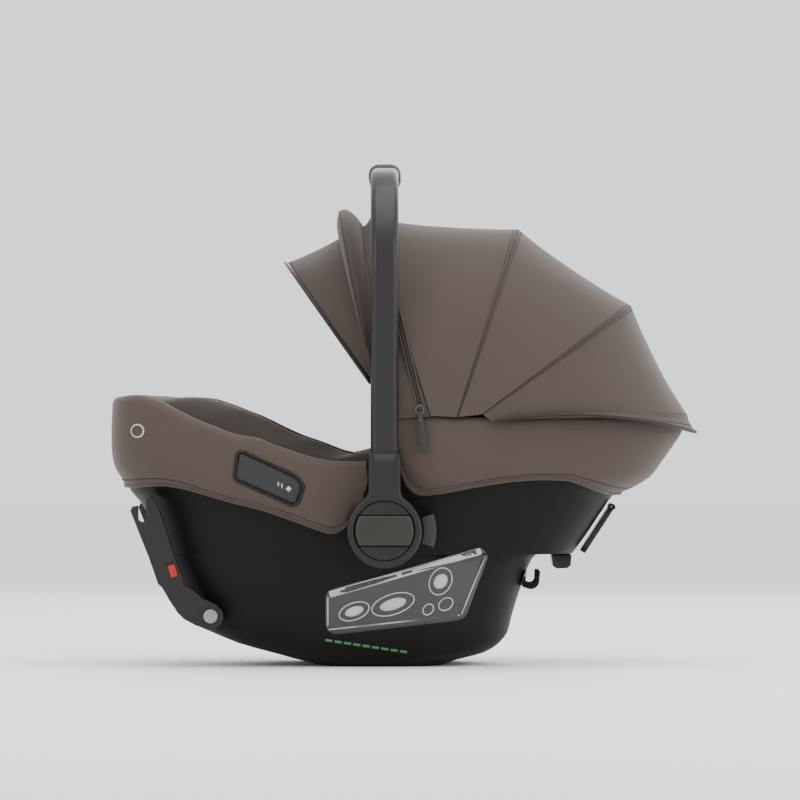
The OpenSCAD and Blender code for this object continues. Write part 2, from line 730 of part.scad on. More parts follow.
// A cloth panel from hoop a to hoop b, taking only the share of the way from v0 to v1
module panel(a, b, w, v0 = 0, v1 = 1, rows = 2) {
    shares = [for (j = [0:rows]) v0 + (v1 - v0) * j / rows];
    loft([for (t = hoop_times()) concat(
        [for (j = [rows:-1:0]) between(a, b, w, t, shares[j], 0)],
        [for (j = [0:rows]) between(a, b, w, t, shares[j], cloth_t)])]);
}
cloth_colour = [0.45, 0.4, 0.37];
module canopy_visor() { color([0.38, 0.33, 0.31]) panel(edge_hoop, fold_hoop, visor_y, 0, 0.97); }
module canopy_gore() { color(cloth_colour) panel(fold_hoop, zip_hoop, visor_y, 0.12, 0.985); }
module canopy_front() { color(cloth_colour) panel(zip_hoop, mid_hoop, visor_y, 0.02, 0.99); }
module canopy_mid() { color(cloth_colour) panel(mid_hoop, rear_hoop, visor_y, 0.01, 0.99); }
module canopy_rear() { color(cloth_colour) panel(rear_hoop, hem_top_hoop, visor_y, 0.01, 0.97, 3); }
module canopy_hem() { color([0.2, 0.18, 0.17]) panel(hem_top_hoop, hem_low_hoop, hem_y, 0, 1); }

// Standing pleat between the visor and the gore
shade_h = 19;
shade_half = 12;
module canopy_shade() {
    color([0.27, 0.22, 0.2]) loft([for (i = [3:hoop_n - 3]) let (t = hoop_times()[i], p = hoop_point(fold_hoop, visor_y, t, 0),
        f = pow(sin(t), 0.8), up = [p[0] - canopy_x - 110, p[1] * 0.6, p[2] - canopy_z], n = up / norm(up), q = p + n * 1.4)
        [q + [-shade_half * f, 0, -4 * f], q + [shade_half * f, 0, 6 * f] + n * 1.2, q + n * (shade_h * f + 2.2)]]);
}

// A bow: a flat strip bent over the seat, with an eye at each end
module bow(a, reach, y) {
    e_r = [cos(a), 0, sin(a)];
    e_a = [-sin(a), 0, cos(a)];
    pts = [for (t = hoop_times()) [y * side_pow(cos(t), bow_e), (reach - bow_inset) * side_pow(sin(t), bow_e)]];
    difference() {
        union() {
            translate([canopy_x, 0, canopy_z]) loft([for (i = [0:hoop_n])
                let (d0 = pts[min(i + 1, hoop_n)] - pts[max(i - 1, 0)], d = d0 / norm(d0), n = [d[1], -d[0]],
                    p = pts[i], across_n = [0, n[0], 0] + n[1] * e_r, o = [0, p[0], 0] + p[1] * e_r)
                [o + across_n * bow_t / 2 - e_a * bow_w / 2, o + across_n * bow_t / 2 + e_a * bow_w / 2,
                    o - across_n * bow_t / 2 + e_a * bow_w / 2, o - across_n * bow_t / 2 - e_a * bow_w / 2]]);
            both_sides() across(canopy_x, canopy_z, mount_r + 4, y + bow_t / 2, y - bow_t / 2);
        }
        both_sides() across(canopy_x, canopy_z, mount_r + 0.3, y + bow_t, y - bow_t);
    }
}
module rear_bow() { color([0.1, 0.1, 0.1]) bow(rear_a, rear_hoop[3], bow_y); }
module mid_bow() { color([0.1, 0.1, 0.1]) bow(mid_a, mid_hoop[3], bow_y + bow_step); }
module front_bow() { color([0.1, 0.1, 0.1]) bow(front_a, zip_hoop[3], bow_y + 2 * bow_step); }

// Slider and pull tab of the side zipper
pull_x = 16 * kx;
pull_z = 296;
pull_l = 50;
module zipper_pull() {
    color([0.1, 0.1, 0.1]) translate([pull_x, -visor_y - 0.5, pull_z]) rotate([90, 0, 0]) difference() {
        linear_extrude(2) union() {
            circle(r = 5);
            polygon([[-4, 0], [-3, -pull_l + 3], [0, -pull_l], [4, -pull_l + 2], [4, 0]]);
        }
        translate([0, 0, -1]) cylinder(h = 4, r = 1.6);
    }
}

// ---- Latch arms ----

slot_x = arm_x - 78;
slot_z0 = 170;
slot_r = anchor_d / 2 + 1.6;
arm_y = anchor_gap / 2;
end_r = 14.5;
jaw_dx = 13;
jaw_dz = -10;
jaw_t = 8;
arm_edge = concat([[-310, 183], [-312, 178]], [[-291, 125], [-280.5, 95], [-276, 91], [-268, 77], [-258, 62],
    [-251.5, 55.5], [-238, 48]], arc(-221, 58.6, end_r, 250, 385, 14), [[-215, 72], [-230, 78.5], [-241.5, 88.5],
    [-252, 94], [-252, 102], [-258, 115], [-264, 132], [-271, 155], [-279, 178], [-285, 190], [-289, 195],
    [-293.5, 195], [-295, 184], [-303, 184]]);
module arm_side(y0, y1) { side_cut([for (p = arm_edge) [(p[0] + 221) + arm_x, p[1]]], y0, y1); }
jaw_x = slot_x + jaw_dx;
jaw_z = slot_z0 + jaw_dz;
module jaw_shape(grow, a0, a1) {
    circle(r = 9 + grow);
    polygon(concat([[0, 0]], arc(0, 0, 21 + grow, a0, a1, 8)));
}
flag_travel = 3;
module at_flag(y) {
    translate([arm_x - 43, -y, 110]) rotate([90, 0, 0]) rotate(17) children();
}

// Space that the body takes from the arm, at rest and as the arm swings out
swing_max = 62;
module arm_sweep() {
    translate([arm_x, 0, arm_z]) for (turn = [0:swing_max / 4:swing_max]) rotate([0, turn, 0])
        translate([-arm_x, 0, -arm_z]) body_form(1, 1, [0, 25, 37, 47, 56, 75, 100, 121, 150, 180, 200]);
}

module latch_arm(side) {
    color([0.2, 0.17, 0.16]) on_side(side) difference() {
        arm_side(-arm_y - arm_w / 2, -arm_y + arm_w / 2);
        across(slot_x, slot_z0, slot_r, arm_y + arm_w, arm_y - arm_w);
        translate([slot_x - slot_r, -arm_y - arm_w, slot_z0]) cube([2 * slot_r, 2 * arm_w, 40]);
        side_plate(jaw_x, jaw_z, arm_y + jaw_t / 2 + gap, arm_y - jaw_t / 2 - gap) jaw_shape(0.5, 94, 160);
        across(arm_x, arm_z, axle_d / 2 + 0.2, arm_y + arm_w, arm_y - arm_w);
        arm_sweep();
        at_flag(arm_y + arm_w / 2 - 3) translate([-4.3, -7.3, 0]) cube([8.6, 14.6 + flag_travel, 10]);
    }
}
module latch_arm_left() { latch_arm(-1); }
module latch_arm_right() { latch_arm(1); }

module latch_jaw(side) {
    color([0.55, 0.55, 0.57]) on_side(side)
        side_plate(jaw_x, jaw_z, arm_y + jaw_t / 2, arm_y - jaw_t / 2) jaw_shape(0, 97, 116);
}
module latch_jaw_left() { latch_jaw(-1); }
module latch_jaw_right() { latch_jaw(1); }

module latch_flag(side) {
    color([0.7, 0.1, 0.08]) on_side(side) at_flag(arm_y + arm_w / 2 - 2.7) translate([-4, -7, 0]) cube([8, 14, 2.4]);
}
module latch_flag_left() { latch_flag(-1); }
module latch_flag_right() { latch_flag(1); }

// Axle of each arm, with a head outside
module latch_axles() {
    color([0.6, 0.6, 0.62]) both_sides() {
        across(arm_x, arm_z, axle_d / 2, axle_out - 2, axle_in);
        across(arm_x, arm_z, axle_d / 2 + 3, axle_out, axle_out - 2);
    }
}

shell();
foam_liner();
foot_cover();
head_cover();
seat_pad();
infant_insert();
head_cushion();
shoulder_pads();
crotch_pad();
shoulder_straps();
lap_straps();
crotch_strap();
buckle_housing();
buckle_tongues();
buckle_button();
adjuster_housing();
adjuster_button();
splitter_plate();
hub_base_left();
hub_base_right();
handle_pins();
handle_bar();
handle_grip();
hub_shell_left();
hub_shell_right();
hub_disc_left();
hub_disc_right();
hub_springs();
hub_button_left();
hub_button_right();
memory_button_left();
memory_button_right();
belt_hooks();
rear_block();
release_lever();
canopy_mounts();
rear_bow();
mid_bow();
front_bow();
canopy_visor();
canopy_gore();
canopy_front();
canopy_mid();
canopy_rear();
canopy_hem();
canopy_shade();
zipper_pull();
info_labels();
flap_frames();
belt_flap_left();
belt_flap_right();
ring_emblems();
latch_axles();
latch_arm_left();
latch_arm_right();
latch_jaw_left();
latch_jaw_right();
latch_flag_left();
latch_flag_right();
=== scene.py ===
import bpy, bmesh, json, math, random
from mathutils import Vector, Matrix, noise

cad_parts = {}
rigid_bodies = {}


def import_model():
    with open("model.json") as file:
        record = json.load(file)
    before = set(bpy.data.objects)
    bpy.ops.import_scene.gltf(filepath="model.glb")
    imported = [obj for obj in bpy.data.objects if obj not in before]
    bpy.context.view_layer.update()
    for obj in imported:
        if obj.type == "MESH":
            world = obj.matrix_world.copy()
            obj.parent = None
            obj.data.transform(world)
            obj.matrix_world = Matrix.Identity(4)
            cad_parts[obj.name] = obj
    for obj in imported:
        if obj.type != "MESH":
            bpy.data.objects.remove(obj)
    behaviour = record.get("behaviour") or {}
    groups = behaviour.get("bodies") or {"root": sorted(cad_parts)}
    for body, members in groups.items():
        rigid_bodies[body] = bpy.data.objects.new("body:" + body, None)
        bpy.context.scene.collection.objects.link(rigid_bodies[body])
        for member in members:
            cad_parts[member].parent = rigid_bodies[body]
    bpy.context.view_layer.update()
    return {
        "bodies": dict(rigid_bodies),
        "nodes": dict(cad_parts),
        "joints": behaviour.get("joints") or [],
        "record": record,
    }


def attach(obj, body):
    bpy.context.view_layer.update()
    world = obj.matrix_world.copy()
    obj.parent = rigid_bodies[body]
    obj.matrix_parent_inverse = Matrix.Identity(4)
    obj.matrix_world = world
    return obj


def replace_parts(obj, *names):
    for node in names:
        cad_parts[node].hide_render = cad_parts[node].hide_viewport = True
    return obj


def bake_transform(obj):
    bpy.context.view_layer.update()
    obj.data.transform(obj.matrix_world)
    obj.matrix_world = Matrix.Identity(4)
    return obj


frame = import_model()
nodes = frame["nodes"]
mm = 0.001
print("frame loaded:", len(nodes), "nodes")


viewSet = {"distance": 9.0, "height": 0.304, "sideways": -0.006, "fieldWidth": 0.9235, "sensor": 36.0}


def makeCamera(s):
    cam = bpy.data.objects.new("camera", bpy.data.cameras.new("camera"))
    bpy.context.scene.collection.objects.link(cam)
    cam.location = (s["sideways"], -s["distance"], s["height"])
    cam.rotation_euler = (math.radians(90), 0, 0)
    cam.data.sensor_width = s["sensor"]
    cam.data.lens = s["sensor"] * s["distance"] / s["fieldWidth"]
    cam.data.clip_end = 50
    bpy.context.scene.camera = cam


def areaLight(name, place, aim, size, power):
    lamp = bpy.data.lights.new(name, "AREA")
    lamp.shape = "RECTANGLE"
    lamp.size, lamp.size_y = size
    lamp.energy = power
    o = bpy.data.objects.new(name, lamp)
    bpy.context.scene.collection.objects.link(o)
    o.location = place
    o.rotation_euler = (Vector(aim) - Vector(place)).to_track_quat("-Z", "Y").to_euler()


lightSet = {
    "top": ((0.2, -0.4, 2.6), (0, 0, 0.2), (2.6, 2.2), 52),
    "frontLeft": ((-2.2, -2.6, 1.5), (0, 0, 0.3), (1.6, 1.8), 30),
    "frontRight": ((2.3, -2.0, 1.3), (0, 0, 0.3), (1.2, 1.6), 26),
    "back": ((0.5, 2.8, 1.6), (0, 0, 0.3), (2.4, 1.6), 34),
    "rightEdge": ((2.6, 0.5, 0.8), (0, 0, 0.35), (0.5, 1.6), 14),
}


def makeStage():
    for name, (place, aim, size, power) in lightSet.items():
        areaLight(name, place, aim, size, power)
    world = bpy.data.worlds.new("studio")
    bpy.context.scene.world = world
    world.use_nodes = True
    world.node_tree.nodes["Background"].inputs[0].default_value = (0.96, 0.96, 0.96, 1)
    world.node_tree.nodes["Background"].inputs[1].default_value = 1.5
    mesh = bpy.data.meshes.new("floor")
    mesh.from_pydata([(-14, -14, 0), (14, -14, 0), (14, 14, 0), (-14, 14, 0)], [], [(0, 1, 2, 3)])
    floor = bpy.data.objects.new("floor", mesh)
    bpy.context.scene.collection.objects.link(floor)
    m = bpy.data.materials.new("paleFloor")
    m.use_nodes = True
    m.node_tree.nodes["Principled BSDF"].inputs["Base Color"].default_value = (0.9, 0.9, 0.9, 1)
    m.node_tree.nodes["Principled BSDF"].inputs["Roughness"].default_value = 0.6
    mesh.materials.append(m)


makeCamera(viewSet)
makeStage()
print("stage ready")


class Socket:
    # a shader value that can be used in plain arithmetic
    def __init__(self, shader, out):
        self.shader, self.out = shader, out

    def maths(self, operation, a, b=0.0, c=0.0):
        return self.shader.add("ShaderNodeMath", {"operation": operation}, {0: a, 1: b, 2: c})

    def __add__(self, o):
        return self.maths("ADD", self, o)

    def __radd__(self, o):
        return self.maths("ADD", o, self)

    def __sub__(self, o):
        return self.maths("SUBTRACT", self, o)

    def __rsub__(self, o):
        return self.maths("SUBTRACT", o, self)

    def __mul__(self, o):
        return self.maths("MULTIPLY", self, o)

    def __rmul__(self, o):
        return self.maths("MULTIPLY", o, self)

    def __truediv__(self, o):
        return self.maths("DIVIDE", self, o)

    def __rtruediv__(self, o):
        return self.maths("DIVIDE", o, self)

    def __pow__(self, o):
        return self.maths("POWER", self, o)

    def __gt__(self, o):
        return self.maths("GREATER_THAN", self, o)

    def __lt__(self, o):
        return self.maths("LESS_THAN", self, o)


    def sine(self):
        return self.maths("SINE", self)

    def size(self):
        return self.maths("ABSOLUTE", self)

    def smallest(self, o):
        return self.maths("MINIMUM", self, o)

        return self.maths("MAXIMUM", self, o)



class Shader:
    # one material and the nodes that are added to it
    def __init__(self, name, **fixed):
        self.material = bpy.data.materials.new(name)
        self.material.use_nodes = True
        self.tree = self.material.node_tree
        self.main = self.tree.nodes["Principled BSDF"]
        for socket, value in fixed.items():
            self.main.inputs[socket.replace("_", " ")].default_value = value

    def add(self, kind, settings=None, inputs=None, out=0):
        node = self.tree.nodes.new(kind)
        for key, value in (settings or {}).items():
            if key == "stops":
                for i, (at, colour) in enumerate(value):
                    e = node.color_ramp.elements[i] if i < 2 else node.color_ramp.elements.new(at)
                    e.position, e.color = at, colour
            else:
                setattr(node, key, value)
        for key, value in (inputs or {}).items():
            if isinstance(value, Socket):
                self.tree.links.new(value.out, node.inputs[key])
            else:
                node.inputs[key].default_value = value
        return Socket(self, node.outputs[out])

    def to(self, socket, value):
        self.tree.links.new(value.out, self.main.inputs[socket])

    def place(self):
        return self.add("ShaderNodeTexCoord", out=3)

    def parts(self, vector):
        node = self.tree.nodes.new("ShaderNodeSeparateXYZ")
        self.tree.links.new(vector.out, node.inputs[0])
        return [Socket(self, o) for o in node.outputs]

    def noise(self, scale, detail=3.0, rough=0.5, where=None):
        return self.add("ShaderNodeTexNoise", {"noise_dimensions": "3D"},
                        {"Vector": where or self.place(), "Scale": scale, "Detail": detail,
                         "Roughness": rough})

    def blendColour(self, factor, a, b, mode="MIX"):
        node = self.tree.nodes.new("ShaderNodeMix")
        node.data_type, node.blend_type = "RGBA", mode
        for index, value in ((0, factor), (6, a), (7, b)):
            if isinstance(value, Socket):
                self.tree.links.new(value.out, node.inputs[index])
            else:
                node.inputs[index].default_value = value
        return Socket(self, node.outputs[2])

    def bump(self, height, distance, strength=1.0):
        self.to("Normal", self.add("ShaderNodeBump", {}, {"Height": height, "Distance": distance,
                                                          "Strength": strength}))


def rgb(r, g, b):
    # screen colour, 0 to 255, as linear light
    return tuple(((v / 255) / 12.92 if v < 10 else ((v / 255 + 0.055) / 1.055) ** 2.4)
                 for v in (r, g, b)) + (1.0,)


def shade(colour, k):
    return tuple(min(1.0, c * k) for c in colour[:3]) + (1.0,)


colours = {
    # the visor colour is the canopy cloth made darker: painted shade
    "canopy": rgb(67, 58, 52), "visor": rgb(58, 49, 44), "shadePleat": rgb(46, 38, 33),
           "cover": rgb(68, 58, 52),
    "lining": rgb(44, 37, 33), "shell": rgb(10, 8, 6), "hub": rgb(21, 18, 16), "button": rgb(36, 34, 29),
    "wedge": rgb(42, 39, 36), "handle": rgb(20, 18, 17), "grip": rgb(12, 11, 11), "flap": rgb(11, 9, 8),
    "label": rgb(50, 48, 46), "print": rgb(176, 173, 168), "binding": rgb(24, 21, 19),
           "webbing": rgb(18, 17, 17),
    "arm": rgb(24, 21, 19), "red": rgb(150, 20, 16), "steel": rgb(140, 140, 144), "foam": rgb(16, 16, 16),
    "black": rgb(7, 6, 6), "green": rgb(52, 110, 70),
}


def fabric(name, colour, thread=1500, fuzz=0.12, melange=0.16, bump=0.00012):
    s = Shader(name, Roughness=0.86, Sheen_Weight=fuzz, Sheen_Roughness=0.45, Specular_IOR_Level=0.25)
    fine = s.noise(thread, 2.0, 0.6)
    speck = s.noise(thread * 0.45, 3.0, 0.65)
    broad = s.noise(9, 2.0, 0.5)
    amount = (speck - 0.5) * 2.4 * melange + (broad - 0.5) * 0.10 + 0.5
    s.to("Base Color", s.blendColour(amount, shade(colour, 0.72), shade(colour, 1.28)))
    s.to("Roughness", 0.80 + speck * 0.12)
    s.bump(fine * 0.6 + speck * 0.4, bump)
    return s.material


def weave(name, colour, pitch=0.0011, bump=0.00018):
    # flat webbing and ribbed binding: ridges across, fine threads along
    s = Shader(name, Roughness=0.7, Sheen_Weight=0.1, Specular_IOR_Level=0.3)
    x, y, z = s.parts(s.place())
    ribs = ((x + z) * (2 * math.pi / pitch)).sine() * 0.5 + 0.5
    threads = (y * (2 * math.pi / (pitch * 0.8))).sine() * 0.5 + 0.5
    height = ribs * 0.6 + threads * 0.4
    grain = s.noise(900, 2.0, 0.6)
    # colour follows the ridge height: painted shade darkens the grooves between ribs and threads, with
    # random grain mixed in
    s.to("Base Color", s.blendColour(height * 0.5 + grain * 0.5, shade(colour, 0.7), shade(colour, 1.35)))
    s.bump(height, bump)
    return s.material


def plastic(name, colour, rough=0.5, grain=1900, bump=0.00004, coat=0.0, wear=0.04, shine=0.3):
    s = Shader(name, Specular_IOR_Level=shine, Coat_Weight=coat, Coat_Roughness=0.2)
    pits = s.noise(grain, 3.0, 0.6)
    cloud = s.noise(14, 3.0, 0.55)
    s.to("Base Color", s.blendColour(cloud * 0.7 + pits * 0.3, shade(colour, 0.88), shade(colour, 1.12)))
    s.to("Roughness", rough + (cloud - 0.5) * wear * 2 + (pits - 0.5) * 0.06)
    s.bump(pits, bump)
    return s.material


def leather(name, colour):
    s = Shader(name, Specular_IOR_Level=0.5)
    cells = s.add("ShaderNodeTexVoronoi", {"feature": "DISTANCE_TO_EDGE"},
                  {"Vector": s.place(), "Scale": 720.0})
    creases = s.noise(60, 4.0, 0.6)
    s.to("Base Color", s.blendColour(creases, shade(colour, 0.8), shade(colour, 1.25)))
    s.to("Roughness", 0.42 + creases * 0.2)
    s.bump(cells.smallest(0.2) * 3 + creases * 0.4, 0.00010)
    return s.material


def steel(name, colour):
    s = Shader(name, Metallic=1.0)
    x, y, z = s.parts(s.place())
    line = s.add("ShaderNodeCombineXYZ", {}, {0: x * 30, 1: y * 900, 2: z * 900})
    brush = s.noise(1.0, 3.0, 0.6, line)
    s.to("Base Color", s.blendColour(brush, shade(colour, 0.8), shade(colour, 1.1)))
    s.to("Roughness", 0.25 + brush * 0.2)
    return s.material


mats = {
    "canopy": fabric("canopyCloth", colours["canopy"]),
    # visor cloth: the canopy cloth darkened as painted shade
    "visor": fabric("visorClothPaintedShade", colours["visor"]),
    "shadePleat": fabric("pleatCloth", colours["shadePleat"]),
    "cover": fabric("coverCloth", colours["cover"]),
    "lining": fabric("liningKnit", colours["lining"], 1100, 0.2, 0.22, 0.0002),
    "insert": fabric("insertKnit", shade(colours["lining"], 1.35), 1000, 0.25, 0.2, 0.00025),
    "piping": weave("pipingCord", shade(colours["cover"], 0.72), 0.0009),
    "binding": weave("ribbedBinding", colours["binding"]),
    "webbing": weave("harnessWebbing", colours["webbing"], 0.0016, 0.0003),
    "thread": fabric("sewingThread", shade(colours["cover"], 1.25), 2600, 0.05, 0.1, 0.00004),
    "darkThread": fabric("darkThread", shade(colours["lining"], 0.6), 2600, 0.05, 0.1, 0.00004),
    "shell": plastic("shellPlastic", colours["shell"], 0.56, 1500, 0.00007, shine=0.16),
    "hub": plastic("hubPlastic", colours["hub"], 0.44, 2100, 0.00003),
    "button": plastic("buttonPlastic", colours["button"], 0.42, 2100, 0.00003),
    "wedge": plastic("wedgePlastic", colours["wedge"], 0.46, 2100, 0.00003),
    "handle": plastic("handlePaint", colours["handle"], 0.40, 2400, 0.00002, 0.1),
    "grip": leather("gripSkin", colours["grip"]),
    "arm": plastic("armPlastic", colours["arm"], 0.4, 1800, 0.00004),
    "black": plastic("blackPlastic", colours["black"], 0.38, 1800, 0.00003),
    "red": plastic("redPlastic", colours["red"], 0.3, 2400, 0.00001, 0.3),
    "foam": plastic("linerFoam", colours["foam"], 0.85, 420, 0.0004),
    "flap": leather("flapSkin", colours["flap"]),
    "steel": steel("brushedSteel", colours["steel"]),
    "zipMetal": plastic("zipCoil", shade(colours["binding"], 3.0), 0.4),
    "gunmetal": steel("gunmetal", shade(colours["steel"], 0.35)),
    "label": plastic("labelFilm", colours["label"], 0.3, 2400, 0.00001, 0.3),
    "print": plastic("lightPrint", colours["print"], 0.42, 2400, 0.00001),
    "green": plastic("greenPrint", colours["green"], 0.45, 2400, 0.00001),
}
print("materials ready:", len(mats))


def piece(name, verts, faces, look, body, smooth=True):
    mesh = bpy.data.meshes.new(name)
    mesh.from_pydata([tuple(v) for v in verts], [], faces)
    mesh.validate()
    bm = bmesh.new()
    bm.from_mesh(mesh)
    bmesh.ops.remove_doubles(bm, verts=bm.verts, dist=1e-6)
    bmesh.ops.recalc_face_normals(bm, faces=bm.faces)
    bm.to_mesh(mesh)
    bm.free()
    o = bpy.data.objects.new(name, mesh)
    bpy.context.scene.collection.objects.link(o)
    mesh.materials.append(mats[look])
    mesh.polygons.foreach_set("use_smooth", [smooth] * len(mesh.polygons))
    if body:
        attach(o, body)
    return o


def gridFaces(rows, cols, around=False, lengthwise=False):
    faces = []
    for j in range(rows if lengthwise else rows - 1):
        for i in range(cols if around else cols - 1):
            a, b = j * cols + i, j * cols + (i + 1) % cols
            c, d = ((j + 1) % rows) * cols + (i + 1) % cols, ((j + 1) % rows) * cols + i
            faces.append((a, b, c, d))
    return faces


def gridPiece(name, rowsOfPoints, look, body, around=False, lengthwise=False, caps=False):
    rows, cols = len(rowsOfPoints), len(rowsOfPoints[0])
    faces = gridFaces(rows, cols, around, lengthwise)
    if caps:
        faces += [tuple(range(cols)), tuple((rows - 1) * cols + i for i in reversed(range(cols)))]
    return piece(name, [p for row in rowsOfPoints for p in row], faces, look, body)


def tubeRows(points, radius, sides=8, closed=False, flat=1.0):
    # rings square to a path; flat squeezes the section along its second direction
    n, rings = len(points), []
    lastSide = None
    for i, p in enumerate(points):
        ahead = points[(i + 1) % n] if closed or i < n - 1 else points[i]
        behind = points[i - 1] if closed or i > 0 else points[i]
        d = (Vector(ahead) - Vector(behind)).normalized()
        side = lastSide - d * lastSide.dot(d) if lastSide else d.cross(Vector((0, 0, 1)))
        if side.length < 1e-4:
            side = d.cross(Vector((0, 1, 0)))
        side.normalize()
        lastSide = side
        up = side.cross(d)
        r = radius(i / max(1, n - 1)) if callable(radius) else radius
        rings.append([Vector(p) + side * (r * math.cos(a)) + up * (r * flat * math.sin(a))
                      for a in (2 * math.pi * k / sides for k in range(sides))])
    return rings


def tube(name, points, radius, look, body, sides=8, closed=False, flat=1.0):
    rows = tubeRows(points, radius, sides, closed, flat)
    return gridPiece(name, rows, look, body, around=True, lengthwise=closed, caps=not closed)


def stitches(name, points, look, body, pitch=3.6, length=2.5, thick=0.35, lift=0.25):
    # a row of short thread loops laid along a path of surface points and their normals
    verts, faces = [], []
    total, marks = 0.0, [0.0]
    for a, b in zip(points, points[1:]):
        total += (b[0] - a[0]).length
        marks.append(total)
    if total < 0.004:
        return None

    def at(s):
        for i in range(len(points) - 1):
            if marks[i + 1] >= s:
                k = (s - marks[i]) / max(1e-9, marks[i + 1] - marks[i])
                return points[i][0].lerp(points[i + 1][0], k), points[i][1].lerp(points[i + 1][1],
                                                                                 k).normalized()
        return points[-1]

    s = 0.0
    while s + length * mm < total:
        line = []
        for k in range(5):
            p, n = at(s + length * mm * k / 4)
            line.append(p + n * (lift * mm * math.sin(math.pi * k / 4) + 0.02 * mm))
        for ring in tubeRows(line, thick * mm, 5):
            verts += ring
        base = len(verts) - 25
        faces += [tuple(base + v for v in f) for f in gridFaces(5, 5, around=True)]
        s += pitch * mm
    return piece(name, verts, faces, look, body)


def smoothTable(table):
    # a monotone curve through [place, value] points
    xs, ys = [p[0] for p in table], [p[1] for p in table]
    n = len(xs)
    slopes = [(ys[i + 1] - ys[i]) / (xs[i + 1] - xs[i]) for i in range(n - 1)]
    ms = [slopes[0]] + [0 if slopes[i - 1] * slopes[i] <= 0 else
                        2 * slopes[i - 1] * slopes[i] / (slopes[i - 1] + slopes[i])
                        for i in range(1, n - 1)] + [slopes[-1]]

    def value(x):
        if x <= xs[0]:
            return ys[0]
        if x >= xs[-1]:
            return ys[-1]
        i = max(k for k in range(n - 1) if xs[k] <= x)
        h = xs[i + 1] - xs[i]
        t = (x - xs[i]) / h
        return ((2 * t ** 3 - 3 * t ** 2 + 1) * ys[i] + (t ** 3 - 2 * t ** 2 + t) * h * ms[i]
                + (3 * t ** 2 - 2 * t ** 3) * ys[i + 1] + (t ** 3 - t ** 2) * h * ms[i + 1])
    return value


def mix(a, b, t):
    return a + (b - a) * t



def edged(o, width=0.8, steps=3, angle=32):
    # soft edges on a hard piece, with no change to its own vertices
    weld = o.modifiers.new("weld", "WELD")
    weld.merge_threshold = 0.00002
    flat = o.modifiers.new("flat", "DECIMATE")
    flat.decimate_type, flat.angle_limit = "DISSOLVE", math.radians(2)
    bevel = o.modifiers.new("edge", "BEVEL")
    bevel.width, bevel.segments, bevel.limit_method = width * mm, steps, "ANGLE"
    bevel.angle_limit, bevel.use_clamp_overlap = math.radians(angle), True
    bevel.harden_normals = True
    o.data.polygons.foreach_set("use_smooth", [True] * len(o.data.polygons))


def dress(name, look, width=0.8, steps=3, angle=32, bevel=True):
    # a CAD node that keeps its shape: its own material and soft edges
    o = nodes[name]
    o.data.materials.clear()
    o.data.materials.append(mats[look])
    if bevel:
        edged(o, width, steps, angle)
    return o


seat = {"longX": 1.0, "wideY": 1.0, "shellWall": 4.0, "coverProud": 19.0, "coverEnd": 8.0}
footFace = smoothTable([[0, -95], [5, -118], [14, -152], [25, -192], [37, -221], [47, -244], [56, -255],
                        [75, -262],
                        [120, -280], [180, -300], [197, -313], [202, -317], [216, -321], [231, -325],
                        [252, -327], [320, -327]])
headLow = smoothTable([[0, 45], [5, 58], [14, 92], [25, 109], [37, 118], [56, 123], [88, 133], [121, 146],
                       [127, 152]])
headHigh = smoothTable([[128, 193], [150, 209], [180, 229], [195, 240], [202, 255], [214, 272], [236, 288],
                        [256, 302],
                        [266, 309], [285, 314], [320, 316]])
halfWidth = smoothTable([[0, 105], [5, 118], [14, 128], [25, 134], [48, 141], [88, 148], [127, 152],
                         [180, 158],
                         [210, 163], [247, 168], [300, 170], [320, 170]])
rimLine = smoothTable([[-400, 302], [-318, 302], [-290, 298], [-264, 288], [-241, 278], [-200, 262],
                       [-159, 251],
                       [-113, 238], [-60, 232], [-30, 238], [0, 262], [30, 280], [60, 284], [320, 284]])
bowlFoot = smoothTable([[60, -90], [75, -120], [100, -165], [150, -225], [200, -262], [250, -288],
                        [330, -300]])
bowlHead = smoothTable([[60, -20], [75, 10], [100, 60], [150, 140], [200, 205], [250, 262], [285, 290],
                        [330, 296]])
bowlHalf = smoothTable([[60, 70], [75, 95], [100, 112], [150, 126], [200, 136], [250, 144], [330, 150]])
clamp = lambda v, lo, hi: max(lo, min(hi, v))
ramp = lambda v, a, b: (lambda t: t * t * (3 - 2 * t))(clamp((v - a) / (b - a), 0, 1))


def headFace(z):
    return headLow(z) if z < 127.5 else headHigh(z)


def footPower(z):
    return mix(4, 6, clamp((z - 190) / 70, 0, 1))


def power(v, e):
    return math.copysign(abs(v) ** (2 / e), v)


def bodyPoint(z, angle, dx, dy):
    # a point of the body's level outline, angle 0 at the head end, growing towards the right side
    c, s = math.cos(angle), math.sin(angle)
    e = footPower(z) if c < 0 else 3
    x0, x1 = footFace(z) - dx, headFace(z) + dx
    return Vector(((x0 + x1) / 2 + (x1 - x0) / 2 * power(c, e), (halfWidth(z) + dy) * power(s, e), z))


def bowlPoint(z, angle, inwards=0.0, lift=0.0):
    # the same for the inside of the seat
    k = z - lift
    x0, x1, w = bowlFoot(k) + inwards, bowlHead(k) - inwards, bowlHalf(k) - inwards
    return Vector(((x0 + x1) / 2 + (x1 - x0) / 2 * power(math.cos(angle), 2.6),
                   w * power(math.sin(angle), 2.6), z))


def evenAngles(count, z, dx, dy, a0=0.0, a1=2 * math.pi, closed=True):
    # angles that space a level outline evenly
    fine = [a0 + (a1 - a0) * i / 720 for i in range(721)]
    pts = [bodyPoint(z, a, dx, dy) for a in fine]
    total, marks = 0.0, [0.0]
    for p, q in zip(pts, pts[1:]):
        total += (q - p).length
        marks.append(total)
    n = count if closed else count - 1
    out, k = [], 0
    for i in range(count):
        s = total * i / n
        while k < 719 and marks[k + 1] < s:
            k += 1
        t = (s - marks[k]) / max(1e-9, marks[k + 1] - marks[k])
        out.append(mix(fine[k], fine[k + 1], clamp(t, 0, 1)))
    return out


def rimTop(angle, dx, dy, line):
    # height at which a column of the outline meets a line seen from the side
    z = 260.0
    for i in range(30):
        z = mix(z, line(bodyPoint(z, angle, dx, dy).x), 0.5)
    return z


